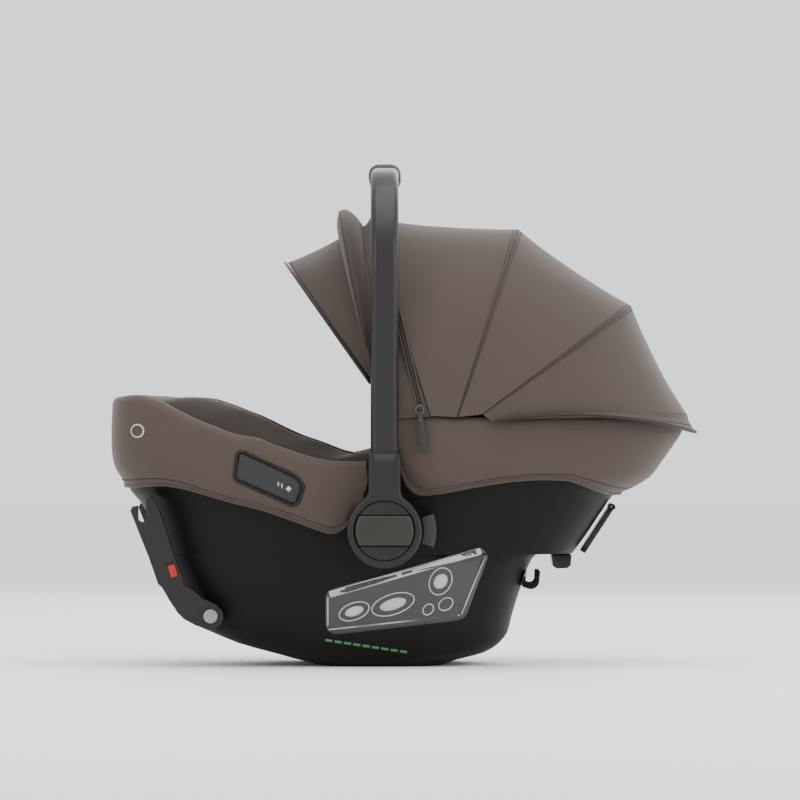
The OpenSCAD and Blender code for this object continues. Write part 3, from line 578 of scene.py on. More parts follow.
def coverY(x, z, proud=None):
    # half width of the cover's outside at a place seen from the side
    proud = seat["coverProud"] if proud is None else proud
    x0, x1 = footFace(z) - seat["coverEnd"], headFace(z) + seat["coverEnd"]
    u = (2 * x - x0 - x1) / (x1 - x0)
    e = footPower(z) if u < 0 else 3
    return (halfWidth(z) + proud) * max(0.0, 1 - abs(u) ** e) ** (1 / e)


shellSet = {"columns": 300, "footRound": 1.2}


def makeShell(s):
    angles = evenAngles(s["columns"], 200, 0, 0)
    low = [0, 0.6, 1.6, 3, 5, 8, 11, 14, 19, 25, 31, 37, 42, 47, 51.5, 56, 62, 68, 75, 84, 94, 104, 113,
           121, 125, 127.2,
           128, 128.8, 131, 136, 143, 150, 160, 170, 180, 188, 195, 200]
    rows = []
    for z in low:
        inset = s["footRound"] * (1 - ramp(z, 0, 3))
        rows.append([bodyPoint(z, a, -inset, -inset) for a in angles])
    tops = [rimTop(a, 0, 0, rimLine) for a in angles]
    for t in [0.1 * i for i in range(1, 10)] + [0.955, 0.985, 1.0]:
        rows.append([bodyPoint(200 + (top - 200) * t, a, 0, 0) for a, top in zip(angles, tops)])
    # a rounded lip turns over the wall and runs a little way down inside
    for depth, inwards in ((0.9, 0.4), (1.2, 1.4), (1.2, 2.8), (0.7, 3.6), (-0.5, 4.0), (-8, 4.1),
                           (-26, 4.2)):
        rows.append([bodyPoint(top + depth, a, -inwards, -inwards) for a, top in zip(angles, tops)])
    o = gridPiece("shellMoulding", [[p * mm for p in row] for row in rows], "shell", "carrier",
                  around=True)
    return o


def shellUnderside(s):
    # a shallow rounded pan closes the moulding from below
    angles = evenAngles(s["columns"], 200, 0, 0)
    rows = []
    for k, drop in ((1.0, 0.0), (0.97, 0.02), (0.9, 0.04), (0.7, 0.05), (0.4, 0.05), (0.05, 0.05)):
        rows.append([Vector((mix(-25, p.x, k), p.y * k, drop)) * mm
                     for p in (bodyPoint(0, a, -s["footRound"], -s["footRound"]) for a in angles)])
    return gridPiece("shellUnderside", rows, "shell", "carrier", around=True)


shellPiece = makeShell(shellSet)
shellUnderside(shellSet)
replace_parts(shellPiece, "shell")
print("shell ready")


coverSet = {"columns": 260, "pipe": 2.3, "stitchPitch": 3.4, "quilt": 1.3}
footRim = smoothTable([[-400, 309], [-335, 308], [-315, 310], [-303, 308.6], [-294, 306], [-284, 302],
                       [-264, 292],
                       [-241, 281.5], [-219, 273.6], [-197, 265.5], [-175, 261.5], [-159, 255],
                       [-138, 247.6],
                       [-113, 240], [-88.5, 235.5], [-57.5, 234.5], [-42, 235]])
footLow = smoothTable([[-400, 205.5], [-316, 205.5], [-298, 207], [-280, 207.6], [-257, 204.7],
                       [-230, 197.4],
                       [-196, 187.8], [-163, 179.5], [-126, 167], [-101, 158], [-84, 153.5], [-70, 160],
                       [-58, 178]])
headLine = smoothTable([[-44, 272], [-30, 264], [-14, 252], [-8, 240], [-3, 222], [2, 209], [9.5, 200.5],
                        [18, 197], [35, 198.5], [86, 207.5], [124, 213], [158, 215],
                        [186, 214], [203, 209], [242, 197], [400, 197]])
headRim = smoothTable([[-44, 285], [-6, 285.5], [10, 286], [30, 286], [60, 284.5], [320, 285]])


def coverShape(z, angle, top, low, bulge=0.0):
    # the cover hugs the shell at its lower edge and stands off it by the rim
    up = clamp((z - low) / max(1, top - low), 0, 1)
    proud = mix(seat["coverProud"] - 3.5, seat["coverProud"], ramp(up, 0, 0.22))
    return bodyPoint(z, angle, mix(3.5, seat["coverEnd"], ramp(up, 0, 0.25)) + bulge, proud + bulge)


def makeCover(name, footEnd, s):
    line, lowLine = (footRim, footLow) if footEnd else (headRim, headLine)
    # the band runs round its end from one side's cut edge to the other's
    dx, dy = seat["coverEnd"], seat["coverProud"]
    angles = evenAngles(s["columns"] * 3, 240, dx, dy, -math.pi * 0.8 if not footEnd else math.pi * 0.2,
                        math.pi * 0.8 if not footEnd else math.pi * 1.8, closed=False)
    keep = [a for a in angles if (bodyPoint(240, a, dx, dy).x <= -44
                                  if footEnd else bodyPoint(240, a, dx, dy).x >= -33)]
    angles = keep[::2] + [keep[-1]]
    rows, tops, lows = [], [], []
    for a in angles:
        tops.append(rimTop(a, dx, dy, line))
        z = 200.0
        for i in range(40):
            z = mix(z, lowLine(bodyPoint(z, a, dx, dy).x), 0.5)
        lows.append(z)
    shares = [0, 0.012, 0.03, 0.06, 0.1, 0.15, 0.21, 0.28, 0.35, 0.42, 0.5, 0.58, 0.66, 0.73, 0.79, 0.84,
              0.885, 0.92]
    for j, t in enumerate(shares):
        row = []
        for i, (a, top, low) in enumerate(zip(angles, tops, lows)):
            z = mix(low, top, t)
            p = bodyPoint(z, a, dx, dy)
            swell = s["quilt"] * math.sin(math.pi * clamp(t, 0, 1))
            swell = swell + 0.9 * noise.noise(p * 0.011) + 0.35 * noise.noise(p * 0.034)
            row.append(coverShape(z, a, top, low, swell * ramp(t, 0, 0.08)))
        rows.append(row)
    # rolled rim: outwards-to-inwards arc over the padding
    rollR = 9.0 if footEnd else 6.0
    for k in range(1, 10):
        turn = math.pi * k / 9
        row = []
        for a, top, low in zip(angles, tops, lows):
            z0 = mix(low, top, 0.92)
            rise = (top - z0)
            inwards = rollR * (1 - math.cos(turn))
            p = coverShape(z0, a, top, low, -inwards + 0.6 * noise.noise(bodyPoint(top, a, dx, dy) * 0.02))
            if turn <= math.pi / 2:
                p.z = z0 + rise * math.sin(turn)
            else:
                p.z = z0 + rise - (1 - math.sin(turn)) * 7
            row.append(p)
        rows.append(row)
    # and down inside the seat, where the lining meets it
    for depth in (10, 22, 40):
        row = []
        for a, top, low in zip(angles, tops, lows):
            row.append(coverShape(max(top - 7 - depth, low + 4), a, top, low, -2 * rollR - 0.5))
        rows.append(row)
    under = []
    for a, top, low in zip(angles, tops, lows):
        p = coverShape(low, a, top, low, -3.2)
        p.z = low + 1.5
        under.append(p)
    deeper = []
    for a, top, low in zip(angles, tops, lows):
        p = coverShape(low + 24, a, top, low, -4.5)
        deeper.append(p)
    rows = [deeper, under] + rows
    o = gridPiece(name, [[p * mm for p in row] for row in rows], "cover", "carrier")
    edge = [coverShape(low + 0.6, a, top, low, -0.9) for a, top, low in zip(angles, tops, lows)]
    seam = []
    for i, (a, top, low) in enumerate(zip(angles, tops, lows)):
        z = mix(low, top, 0.07)
        p, q = coverShape(z, a, top, low, 0.5), coverShape(z, a, top, low, 6)
        seam.append((p * mm, (q - p).normalized()))
    return o, [p * mm for p in edge], seam


footCover, footEdge, footSeam = makeCover("footCover", True, coverSet)
headCover, headEdge, headSeam = makeCover("headCover", False, coverSet)
tube("footCoverPiping", footEdge, coverSet["pipe"] * mm, "piping", "carrier", 10)
tube("headCoverPiping", headEdge, coverSet["pipe"] * 1.15 * mm, "piping", "carrier", 10)
stitches("footCoverStitch", footSeam, "darkThread", "carrier", coverSet["stitchPitch"])
stitches("headCoverStitch", headSeam, "darkThread", "carrier", coverSet["stitchPitch"])
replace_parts(footCover, "foot_cover")
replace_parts(headCover, "head_cover")
print("covers ready")


canopySet = {"pivot": (45.7, 247.0), "half": 193.2, "power": 2.9, "sag": 3.5, "pipe": 1.5, "cloth": 1.3}
hoops = {  # bottom angle, bottom reach, top angle, top reach, from the pivot
    "edge": (138.1, 114, 130.4, 282), "fold": (135.2, 118, 111.6, 276), "zip": (114.4, 43, 108.1, 279),
    "mid": (70.5, 40, 71.6, 267.5), "rear": (44.5, 58.5, 37.7, 270.7), "hemTop": (35, 61, 8, 282.3),
         "hemLow": (29, 62, 3.5, 289.3),
}
hoopTimes = [180 * i / 96 for i in range(97)]
hoopTimes = [a - 6 * math.sin(math.radians(4 * a)) for a in hoopTimes]


def hoopPoint(h, t, inset=0.0, half=None):
    # a point of a hoop: t runs from the right side (0) over the top to the left side (180)
    e = canopySet["power"]
    s, c = power(math.sin(math.radians(t)), e), power(math.cos(math.radians(t)), e)
    a0, r0, a1, r1 = h
    x0, z0 = r0 * math.cos(math.radians(a0)), r0 * math.sin(math.radians(a0))
    x1, z1 = (r1 - inset) * math.cos(math.radians(a1)), (r1 - inset) * math.sin(math.radians(a1))
    px, pz = canopySet["pivot"]
    return Vector((px + x0 + (x1 - x0) * s, ((half or canopySet["half"]) - inset) * c,
                   pz + z0 + (z1 - z0) * s))


def panelPoint(a, b, v, t, inset=0.0, sag=0.0, halfA=None, halfB=None):
    p, q = hoopPoint(a, t, inset, halfA), hoopPoint(b, t, inset, halfB)
    r = p.lerp(q, v)
    middle = Vector((canopySet["pivot"][0], 0, canopySet["pivot"][1] + 40))
    reach = (r - middle)
    dip = sag * 4 * v * (1 - v) * math.sin(math.radians(t)) ** 0.7 if 0 < t < 180 else 0
    return r - reach.normalized() * dip


def panelRows(a, b, v0, v1, rows, inset, sag, halfA=None, halfB=None, wrinkle=0.0, times=hoopTimes):
    out = []
    for j in range(rows + 1):
        v = mix(v0, v1, j / rows)
        row = []
        for t in times:
            p = panelPoint(a, b, v, t, inset, sag, halfA, halfB)
            if wrinkle:
                n = (p - Vector((canopySet["pivot"][0], 0, canopySet["pivot"][1]))).normalized()
                p += n * wrinkle * (noise.noise(p * 0.012) + 0.4 * noise.noise(p * 0.035)) * min(1, 6 * v
                                                                                                 * (1 - v)
                                                                                                 + 0.05)
            row.append(p * mm)
        out.append(row)
    return out


def withCheeks(rows, line, steps=7):
    # carries each end of a panel's rows straight down to a line on the side
    out = []
    count = len(rows)
    for j, row in enumerate(rows):
        v = j / (count - 1)
        x, z = line(v)
        ends = []
        for p in (row[0], row[-1]):
            goal = Vector((x * mm, math.copysign(abs(p.y) - 1.5 * mm, p.y), z * mm))
            ends.append([p.lerp(goal, k / steps) for k in range(1, steps + 1)])
        out.append(list(reversed(ends[0])) + row + ends[1])
    return out


def clothPanel(name, a, b, body, look="canopy", v0=0.0, v1=1.0, rows=26, sag=None,
               halfA=None,
               halfB=None, wrinkle=1.2, cheek=None, times=hoopTimes):
    sag = canopySet["sag"] if sag is None else sag
    outer = panelRows(a, b, v0, v1, rows, 0.0, sag, halfA, halfB, wrinkle, times)
    inner = panelRows(a, b, v1, v0, rows, canopySet["cloth"], sag, halfA, halfB, wrinkle, times)
    if cheek:
        outer = withCheeks(outer, cheek)
        inner = withCheeks(inner, lambda v: cheek(1 - v))
    o = gridPiece(name, outer + inner, look, body, lengthwise=True)
    width = sum((outer[rows // 2][i + 1] - outer[rows // 2][i]).length for i in range(len(outer[0]) - 1))
    length = max(sum((outer[j + 1][i] - outer[j][i]).length for j in range(rows))
                 for i in range(len(outer[0])))
    for j in range(rows):
        for i in range(len(outer[0]) - 1):
            d1, d2 = outer[j + 1][i + 1] - outer[j][i], outer[j + 1][i] - outer[j][i + 1]
    return o


def hemPoint(t, v, inset=0.0):
    # the hem turns out in a soft flare; its lower edge bows up along the sides
    p = hoopPoint(hoops["hemTop"], t, inset, 193.4)
    q = hoopPoint(hoops["hemLow"], t, inset, 199.0)
    k = clamp((p.x - 96) / 232, 0, 1)
    p.z += 6.5 * math.sin(math.pi * k) ** 0.8 * (1 - k * 0.4)
    q.z += 15.5 * math.sin(math.pi * clamp((q.x - 92) / 250, 0, 1)) ** 0.75
    flare = v ** 1.7
    return Vector((mix(p.x, q.x, flare), mix(p.y, q.y, flare), mix(p.z, q.z, v)))


def makeHem():
    outer = [[hemPoint(t, j / 9) * mm for t in hoopTimes] for j in range(10)]
    inner = [[hemPoint(t, j / 9, 1.6) * mm for t in hoopTimes] for j in reversed(range(10))]
    o = gridPiece("canopyHem", outer + inner, "canopy", "carrier", lengthwise=True)
    width = sum((outer[9][i + 1] - outer[9][i]).length for i in range(len(outer[0]) - 1))
    length = max(sum((outer[j + 1][i] - outer[j][i]).length for j in range(9))
                 for i in range(len(outer[0])))
    area = sum((outer[j + 1][i + 1] - outer[j][i]).cross(outer[j + 1][i] - outer[j][i + 1]).length / 2
               for j in range(9) for i in range(len(outer[0]) - 1))
    area = max(area, 0.31 * width * length)
    return o


visor = clothPanel("canopyVisor", hoops["edge"], hoops["fold"], "front_canopy", "visor",
                   rows=20)
gore = clothPanel("canopyGore", hoops["fold"], hoops["zip"], "front_canopy", v0=0.0,
                  rows=16, wrinkle=0.6,
                  cheek=lambda v: (mix(-16, 28.5, v), mix(283, 285, v)))
frontPanel = clothPanel("canopyFrontPanel", hoops["zip"], hoops["mid"], None,
                        rows=34)
midPanel = clothPanel("canopyMidPanel", hoops["mid"], hoops["rear"], None,
                      rows=34)
rearPanel = clothPanel("canopyRearPanel", hoops["rear"], hoops["hemTop"], None, rows=30)
hem = makeHem()
blends = ((frontPanel, "mid_canopy", "front_canopy", 71.6, 108.1),
          (midPanel, "rear_canopy", "mid_canopy", 37.7, 71.6),
          (rearPanel, "carrier", "rear_canopy", 8, 37.7))


def hoopLine(h, lift=0.0, half=None, first=0, last=None, step=1):
    pts = [hoopPoint(h, t, -lift, half) for t in hoopTimes][first:last:step]
    return [p * mm for p in pts]


def outward(p):
    return (p - Vector((canopySet["pivot"][0], 0, canopySet["pivot"][1] + 40)) * mm).normalized()


def onPanel(a, b, v, lift=0.0, sag=None):
    sag = canopySet["sag"] if sag is None else sag
    pts = [panelPoint(a, b, v, t, 0.0, sag) * mm for t in hoopTimes]
    return [(p + outward(p) * lift * mm, outward(p)) for p in pts]


pipe = canopySet["pipe"] * mm
tube("visorTrim", hoopLine(hoops["edge"], 0.6), pipe * 1.5, "black", "front_canopy", 8)
tube("pleatPiping", hoopLine(hoops["fold"], 1.0), pipe * 1.1, "shadePleat", "front_canopy", 8)
tube("midSeam", hoopLine(hoops["mid"], -0.35), pipe * 0.6, "shadePleat", "mid_canopy", 8)
tube("rearSeam", hoopLine(hoops["rear"], -0.35), pipe * 0.6, "shadePleat", "rear_canopy",
     8)
tube("hemEdge", [hemPoint(t, 1.0, -0.2) * mm for t in hoopTimes], pipe * 1.25, "binding", "carrier",
     8)
stitches("hemStitch", [(hemPoint(t, 0.62, -0.3) * mm, outward(hemPoint(t, 0.62) * mm)) for t in hoopTimes],
         "thread", "carrier",
         3.2, 2.3, 0.28, 0.2)
for label, a, b, v, body in (("visorStitch", "edge", "fold", 0.04, "front_canopy"),
                             ("foldStitch", "fold", "zip", 0.3, "front_canopy"),
                             ("frontStitch", "zip", "mid", 0.06, "front_canopy"),
                             ("midStitchA", "zip", "mid", 0.972, "mid_canopy"),
                             ("midStitchB", "mid", "rear", 0.028, "mid_canopy"),
                             ("rearStitchA", "mid", "rear", 0.972, "rear_canopy"),
                             ("rearStitchB", "rear", "hemTop", 0.03, "rear_canopy")):
    if label != "frontStitch":
        stitches(label, onPanel(hoops[a], hoops[b], v), "darkThread", body, 3.4, 2.4, 0.28,
                 0.2)


# the standing pleat, a crescent sheet that rises from the fold line
tube("zipSeam", hoopLine(hoops["zip"], -0.2), pipe * 0.75, "binding", "front_canopy", 8)
pleatSet = {"rise": 24.0, "forward": 15.0, "thick": 2.0}


def makePleat(s):
    rows = []
    steps = [i / 14 for i in range(15)]
    for v in steps:
        row = []
        for t in hoopTimes[4:-4]:
            p = hoopPoint(hoops["fold"], t)
            f = math.sin(math.radians(clamp((t - hoopTimes[4]) / (hoopTimes[-5] - hoopTimes[4]), 0,
                                            1) * 180)) ** 0.55
            n = (p - Vector((canopySet["pivot"][0], 0, canopySet["pivot"][1]))).normalized()
            ahead = Vector((-n.z, 0, n.x)).normalized()
            ahead = ahead if ahead.x < 0 else -ahead
            u = 2 * v - 1
            row.append(p + ahead * (s["forward"] * 0.55 * f - s["forward"] * u * f) + n
                       * (s["rise"] * f * (1 - u * u) ** 0.8 + 0.6))
        rows.append([p * mm for p in row])
    inner = [[p - outward(p) * 1.2 * mm for p in row] for row in reversed(rows)]
    o = gridPiece("canopyPleat", rows + inner, "visor", "front_canopy", lengthwise=True)
    area = sum((rows[j + 1][i + 1] - rows[j][i]).cross(rows[j + 1][i] - rows[j][i + 1]).length / 2
               for j in range(14) for i in range(len(rows[0]) - 1))
    width = sum((rows[7][i + 1] - rows[7][i]).length for i in range(len(rows[0]) - 1))
    length = max(sum((rows[j + 1][i] - rows[j][i]).length for j in range(14)) for i in range(len(rows[0])))
    ridge = rows[5]
    tube("pleatEdgePiping", ridge, pipe * 0.9, "shadePleat", "front_canopy", 8)
    return o


pleat = makePleat(pleatSet)
for o, old in ((visor, "canopy_visor"), (gore, "canopy_gore"), (frontPanel, "canopy_front"),
               (midPanel, "canopy_mid"),
               (rearPanel, "canopy_rear"), (hem, "canopy_hem"), (pleat, "canopy_shade")):
    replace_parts(o, old)
for o, first, second, startAngle, endAngle in blends:
    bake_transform(o)
for name in ("rear_bow", "mid_bow", "front_bow"):
    dress(name, "black", 0.4, 2)
print("canopy ready")


zipSet = {"tape": 7.0, "tooth": 1.7, "pitch": 2.2, "lift": 0.7, "top": (-9, 402), "low": (16, 300)}


def makeZipper(side, s):
    # teeth on a short tape down the gore, seen on each side
    (x0, z0), (x1, z1) = s["top"], s["low"]
    half = canopySet["half"] + 0.4
    n = Vector((0, side, 0))
    start, end = Vector((x0, side * half, z0)) * mm, Vector((x1, side * half, z1)) * mm
    start.y -= side * 0.5 * mm
    along = (end - start).normalized()
    across = along.cross(n).normalized()
    total = (end - start).length
    verts, faces, d, odd = [], [], 0.002, 0
    while d < total - 0.002:
        c = start + along * d + n * s["lift"] * mm + across * (0.55 * mm * (1 if odd else -1))
        w, l, h = along * (s["pitch"] * 0.36 * mm), across * (s["tooth"] * 0.6 * mm), n * (0.7 * mm)
        base = len(verts)
        for sx in (-1, 1):
            for sy in (-1, 1):
                for sz, k in ((-1, 1.0), (1, 0.75)):
                    verts.append(c + w * sx * k + l * sy * k + h * sz)
        for f in ((0, 1, 3, 2), (4, 6, 7, 5), (0, 4, 5, 1), (2, 3, 7, 6), (0, 2, 6, 4), (1, 5, 7, 3)):
            faces.append(tuple(base + i for i in f))
        d += s["pitch"] * mm * 0.5
        odd = 1 - odd
    tag = "Left" if side < 0 else "Right"
    piece("zipTeeth" + tag, verts, faces, "zipMetal", "front_canopy", smooth=False)
    ks = (-1, -0.85, -0.4, 0.4, 0.85, 1)
    rows = [[start.lerp(end, i / 30) + n * (0.5 - 0.3 * abs(k)) * mm + across * (k * s["tape"] / 2 * mm)
             for i in range(31)] for k in ks]
    lower = [[p - n * 0.5 * mm for p in row] for row in reversed(rows)]
    gridPiece("zipTape" + tag, rows + lower, "binding", "front_canopy", lengthwise=True)
    for k, edge in ((-1, "A"), (1, "B")):
        line = [start.lerp(end, i / 30) + n * 0.5 * mm + across * (k * s["tape"] / 2 * mm)
                for i in range(31)]
        tube("zipWelt" + edge + tag, line, 0.9 * mm, "canopy", "front_canopy", 8)


pullSet = {"x": 16.0, "z": 293.0, "thick": 2.2, "ring": 4.6}


def makePull(s):
    # slider ring and a leather tab with a rivet
    y = -(canopySet["half"] + 2.6)
    ring = [Vector((s["x"] + s["ring"] * math.cos(a), y, s["z"] + s["ring"] * math.sin(a))) * mm for a in
            (2 * math.pi * i / 28 for i in range(28))]
    tube("pullRing", ring, 1.05 * mm, "gunmetal", "zipper_pull", 8, closed=True)
    outline = []
    for x, z in ((-2.2, -2), (-3.4, -9), (-3.6, -16), (-4.4, -19), (-4.2, -45), (-2.0, -50), (2.0, -49),
                 (4.2, -45), (4.4, -19), (3.6, -16),
                 (3.4, -9), (2.2, -2)):
        outline.append((s["x"] + x * 0.9 + (-z) * 0.1, s["z"] + z))
    rows = []
    for shrink, dy in ((0.86, 0.55), (1.0, 0.25), (1.0, -s["thick"] + 0.55), (0.86, -s["thick"] + 0.25)):
        cx, cz = s["x"] + 2.5, s["z"] - 25
        rows.append([Vector((cx + (x - cx) * shrink, y + dy, cz + (z - cz) * (1 - (1 - shrink) * 0.2)))
                     * mm for x, z in outline])
    tab = gridPiece("pullTab", rows, "flap", "zipper_pull", around=True, caps=True)
    for z, r in ((-12, 1.5), (-30, 0.8), (-36, 0.8)):
        rivet = [[Vector((s["x"] - z * 0.1 + r * k * math.cos(a), y - s["thick"] + 0.15 - 0.5 * (1 - k * k),
                          s["z"] + z + r * k * math.sin(a))) * mm
                  for a in (2 * math.pi * i / 16 for i in range(16))] for k in (1.0, 0.7, 0.35, 0.05)]
        gridPiece("pullRivet%d" % -z, rivet, "gunmetal", "zipper_pull", around=True, caps=True)
    return tab


for side in (-1, 1):
    makeZipper(side, zipSet)
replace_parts(makePull(pullSet), "zipper_pull")
dress("canopy_mounts", "steel", 0.4, 2)
print("zipper ready")


handleSet = {"x": -23.5, "hubZ": 156.5, "hubRadius": 42.5, "legIn": 198.2, "legOut": 215.2, "face": 217.2,
             "legWide": 31.5,
             "legThick": 17.0, "top": 573.0, "barThick": 25.0, "corner": 112.0, "gripLong": 170.0,
             "sleeveWide": 36.5,
             "sleeveTop": 244.0, "buttonFace": 221.2}


def roundedRing(w, h, r, n=10):
    # a rounded oblong, anticlockwise, as points in its own plane
    pts = []
    for cx, cy, a0 in ((w / 2 - r, h / 2 - r, 0), (r - w / 2, h / 2 - r, 90), (r - w / 2, r - h / 2, 180),
                       (w / 2 - r, r - h / 2, 270)):
        pts += [(cx + r * math.cos(math.radians(a0 + 90 * k / n)),
                 cy + r * math.sin(math.radians(a0 + 90 * k / n))) for k in range(n + 1)]
    return pts


def handlePath(s):
    # centre line from the left hub over the top to the right hub, with its direction
    legY = (s["legIn"] + s["legOut"]) / 2
    barZ = s["top"] - s["barThick"] / 2
    cy, cz, r = legY - s["corner"], barZ - s["corner"], s["corner"]
    left = [(-legY, z) for z in [s["hubZ"] + 38 + (cz - s["hubZ"] - 38) * i / 20 for i in range(21)]]
    left += [(-cy - r * math.cos(a), cz + r * math.sin(a))
             for a in (math.pi / 2 * i / 26 for i in range(1, 27))]
    middle = [(-cy + 2 * cy * i / 30, barZ) for i in range(1, 30)]
    right = [(-y, z) for y, z in reversed(left)]
    return left + middle + right


def sweepBar(name, path, x, shapeAt, look):
    rows = []
    for i, (y, z) in enumerate(path):
        y0, z0 = path[max(i - 1, 0)]
        y1, z1 = path[min(i + 1, len(path) - 1)]
        d = Vector((0, y1 - y0, z1 - z0)).normalized()
        n = Vector((0, -d.z, d.y))
        ring = shapeAt(i, y, z)
        rows.append([(Vector((x + u, y, z)) + n * v) * mm for u, v in ring])
    return gridPiece(name, rows, look, "handle", around=True, caps=True)


def makeHandle(s):
    path = handlePath(s)

    def section(i, y, z):
        # a full oval with a flatter outside
        ring = roundedRing(s["legWide"], s["legThick"], s["legThick"] * 0.44, 12)
        return [(u, v * (1 - 0.06 * (2 * u / s["legWide"]) ** 2)) for u, v in ring]

    bar = sweepBar("handleBar", path, s["x"], section, "handle")
    barZ = s["top"] - s["barThick"] / 2
    half = s["gripLong"] / 2
    gripPath = [(-half + 2 * half * i / 60, barZ) for i in range(61)]

    def gripSection(i, y, z):
        end = ramp(half - abs(y), -0.1, 5)
        w, t = mix(s["legWide"] + 0.8, s["legWide"] + 4, end), mix(s["legThick"] + 0.8, s["barThick"], end)
        ring = roundedRing(w, t, t * 0.46, 12)
        wave = 0.55 * math.cos(2 * math.pi * y / 24) * ramp(70 - abs(y), 0, 12)
        return [(u, v + (wave if v < 0 else 0) * abs(v) / (t / 2)) for u, v in ring]

    gripPiece = sweepBar("handleGrip", gripPath, s["x"], gripSection, "grip")
    seam = [(Vector((s["x"], y, barZ - s["barThick"] / 2 + 0.2))) * mm for y in range(-78, 79, 3)]
    tube("gripSeam", seam, 0.9 * mm, "grip", "handle", 6)
    for side in (-1, 1):
        for at in (half - 9, half - 12):
            ring = [(Vector((s["x"] + u, side * at, barZ + v))) * mm
                    for u, v in roundedRing(s["legWide"] + 4.5, s["barThick"] + 0.5, s["barThick"] * 0.46,
                                            8)]
            tube("gripBand" + ("Left" if side < 0 else "Right") + str(int(at)), ring, 0.5 * mm, "black",
                 "handle",
                 6, closed=True)
    return bar, gripPiece


handleBar, handleGrip = makeHandle(handleSet)
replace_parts(handleBar, "handle_bar")
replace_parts(handleGrip, "handle_grip")


def hubOutline(s, grow=0.0, top=None):
    # round hub with a neck that flares smoothly into the sleeve, seen from the side, from -Y
    r, w, top = s["hubRadius"] + grow, s["sleeveWide"] / 2 + grow, top or s["sleeveTop"]
    blendR = 16.0
    # fillet between circle and straight neck
    cx = w + blendR
    cz = math.sqrt(max(1.0, (r + blendR) ** 2 - cx ** 2))
    a = math.atan2(cz, cx)
    pts = [(r * math.cos(t), r * math.sin(t)) for t in (a - (2 * a + math.pi) * i / 64 for i in range(65))]
    left = [(-cx + blendR * math.cos(t), cz + blendR * math.sin(t))
            for t in (-a + (a) * i / 10 for i in range(1, 11))]
    neck = [(-w, cz + (top - s["hubZ"] - 3 - cz) * i / 8) for i in range(1, 9)]
    cap = [(-w + 3 * (1 - math.cos(t)), top - s["hubZ"] - 3 + 3 * math.sin(t))
           for t in (math.pi / 2 * i / 4 for i in range(1, 5))]
    side = left + neck + cap
    mirrored = [(-x, z) for x, z in reversed(side)]
    return pts + side + mirrored


def hubLayer(s, outline, y, side):
    return [Vector((s["x"] + x, side * y, s["hubZ"] + z)) * mm for x, z in outline]


def makeHub(side, s):
    tag = "Left" if side < 0 else "Right"
    face, back = s["face"], s["legIn"]
    layers = []
    for grow, y in ((-2.0, back), (-0.4, back + 0.6), (0, back + 2.0), (0, face - 4.2), (-0.35, face - 2.4),
                    (-1.3, face - 0.9), (-2.6, face - 0.15),
                    (-4.0, face)):
        layers.append(hubLayer(s, hubOutline(s, grow), y, side))
    # the ring's inner wall: the outline shrinks to a circle round the recessed disc
    outline = hubOutline(s, -4.0)

    def circleLike(r):
        return [(r * x / math.hypot(x, z), r * z / math.hypot(x, z)) for x, z in outline]

    r0 = s["hubRadius"] - 8.5
    for k in (0.35, 0.7, 1.0):
        ring = [(mix(x, cx, k), mix(z, cz, k)) for (x, z), (cx, cz) in zip(outline, circleLike(r0 + 1.2))]
        layers.append(hubLayer(s, ring, face - 0.02, side))
    for r, y in ((r0 + 0.5, face - 0.25), (r0 + 0.1, face - 0.9), (r0, face - 2.0), (r0, face - 14.2)):
        layers.append(hubLayer(s, circleLike(r), y, side))
    layers.append(hubLayer(s, circleLike(13.5), face - 14.4, side))
    layers.append(hubLayer(s, circleLike(6.2), face - 14.4, side))
    layers.append(hubLayer(s, circleLike(6.2), back, side))
    o = gridPiece("hubHousing" + tag, layers, "hub", "handle", around=True, lengthwise=True)
    # a fine line where the leg enters its sleeve
    z = s["sleeveTop"] + 0.6
    legY = (s["legIn"] + s["legOut"]) / 2
    ring = [Vector((s["x"] + u, side * legY + v, z)) * mm for u,
            v in roundedRing(s["legWide"] + 1.4, s["legThick"] + 1.4, 7.5, 8)]
    tube("sleeveGasket" + tag, ring, 0.9 * mm, "black", "handle", 6, closed=True)
    return o


def makeHubButton(side, s):
    # a slightly domed oval key that fills the middle band of the disc
    tag = "Left" if side < 0 else "Right"
    r, h = s["hubRadius"] - 9.3, 35.5 * s["hubRadius"] * 2 / 89 / 2
    a = math.asin(h / r)
    arc = [(r * math.cos(t), r * math.sin(t)) for t in (-a + 2 * a * i / 16 for i in range(17))]
    outline = arc + [(-x, z) for x, z in reversed(arc)]
    outline = [(x * 0.995, z) for x, z in outline]
    dense = []
    for i, p in enumerate(outline):
        q = outline[(i + 1) % len(outline)]
        steps = 1 if math.dist(p, q) < 4 else 12
        dense += [(mix(p[0], q[0], k / steps), mix(p[1], q[1], k / steps)) for k in range(steps)]
    rows = []
    for k, y in ((0.995, s["face"] - 2.6), (1.0, s["buttonFace"] - 2.4), (0.985, s["buttonFace"] - 1.2),
                 (0.95, s["buttonFace"] - 0.5),
                 (0.86, s["buttonFace"] - 0.1), (0.6, s["buttonFace"]), (0.3, s["buttonFace"]),
                 (0.02, s["buttonFace"])):
        rows.append([Vector((s["x"] + x * k, side * y, s["hubZ"] + z * max(0.02, k))) * mm for x,
                     z in dense])
    return gridPiece("hubKey" + tag, rows, "button", "hub_button_" + tag.lower(),
                     around=True, caps=True)


for side, tag in ((-1, "left"), (1, "right")):
    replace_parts(makeHub(side, handleSet), "hub_shell_" + tag)
    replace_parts(makeHubButton(side, handleSet), "hub_button_" + tag)
    dress("hub_disc_" + tag, "hub", 0.7, 3)
    dress("memory_button_" + tag, "wedge", 1.4, 4)
    dress("hub_base_" + tag, "hub", 0.5, 2)
for name in ("handle_pins", "hub_springs"):
    dress(name, "steel", 0.3, 2)
print("handle ready")


liningSet = {"columns": 220, "pad": 14.0, "lift": 9.8, "channel": 1.7}


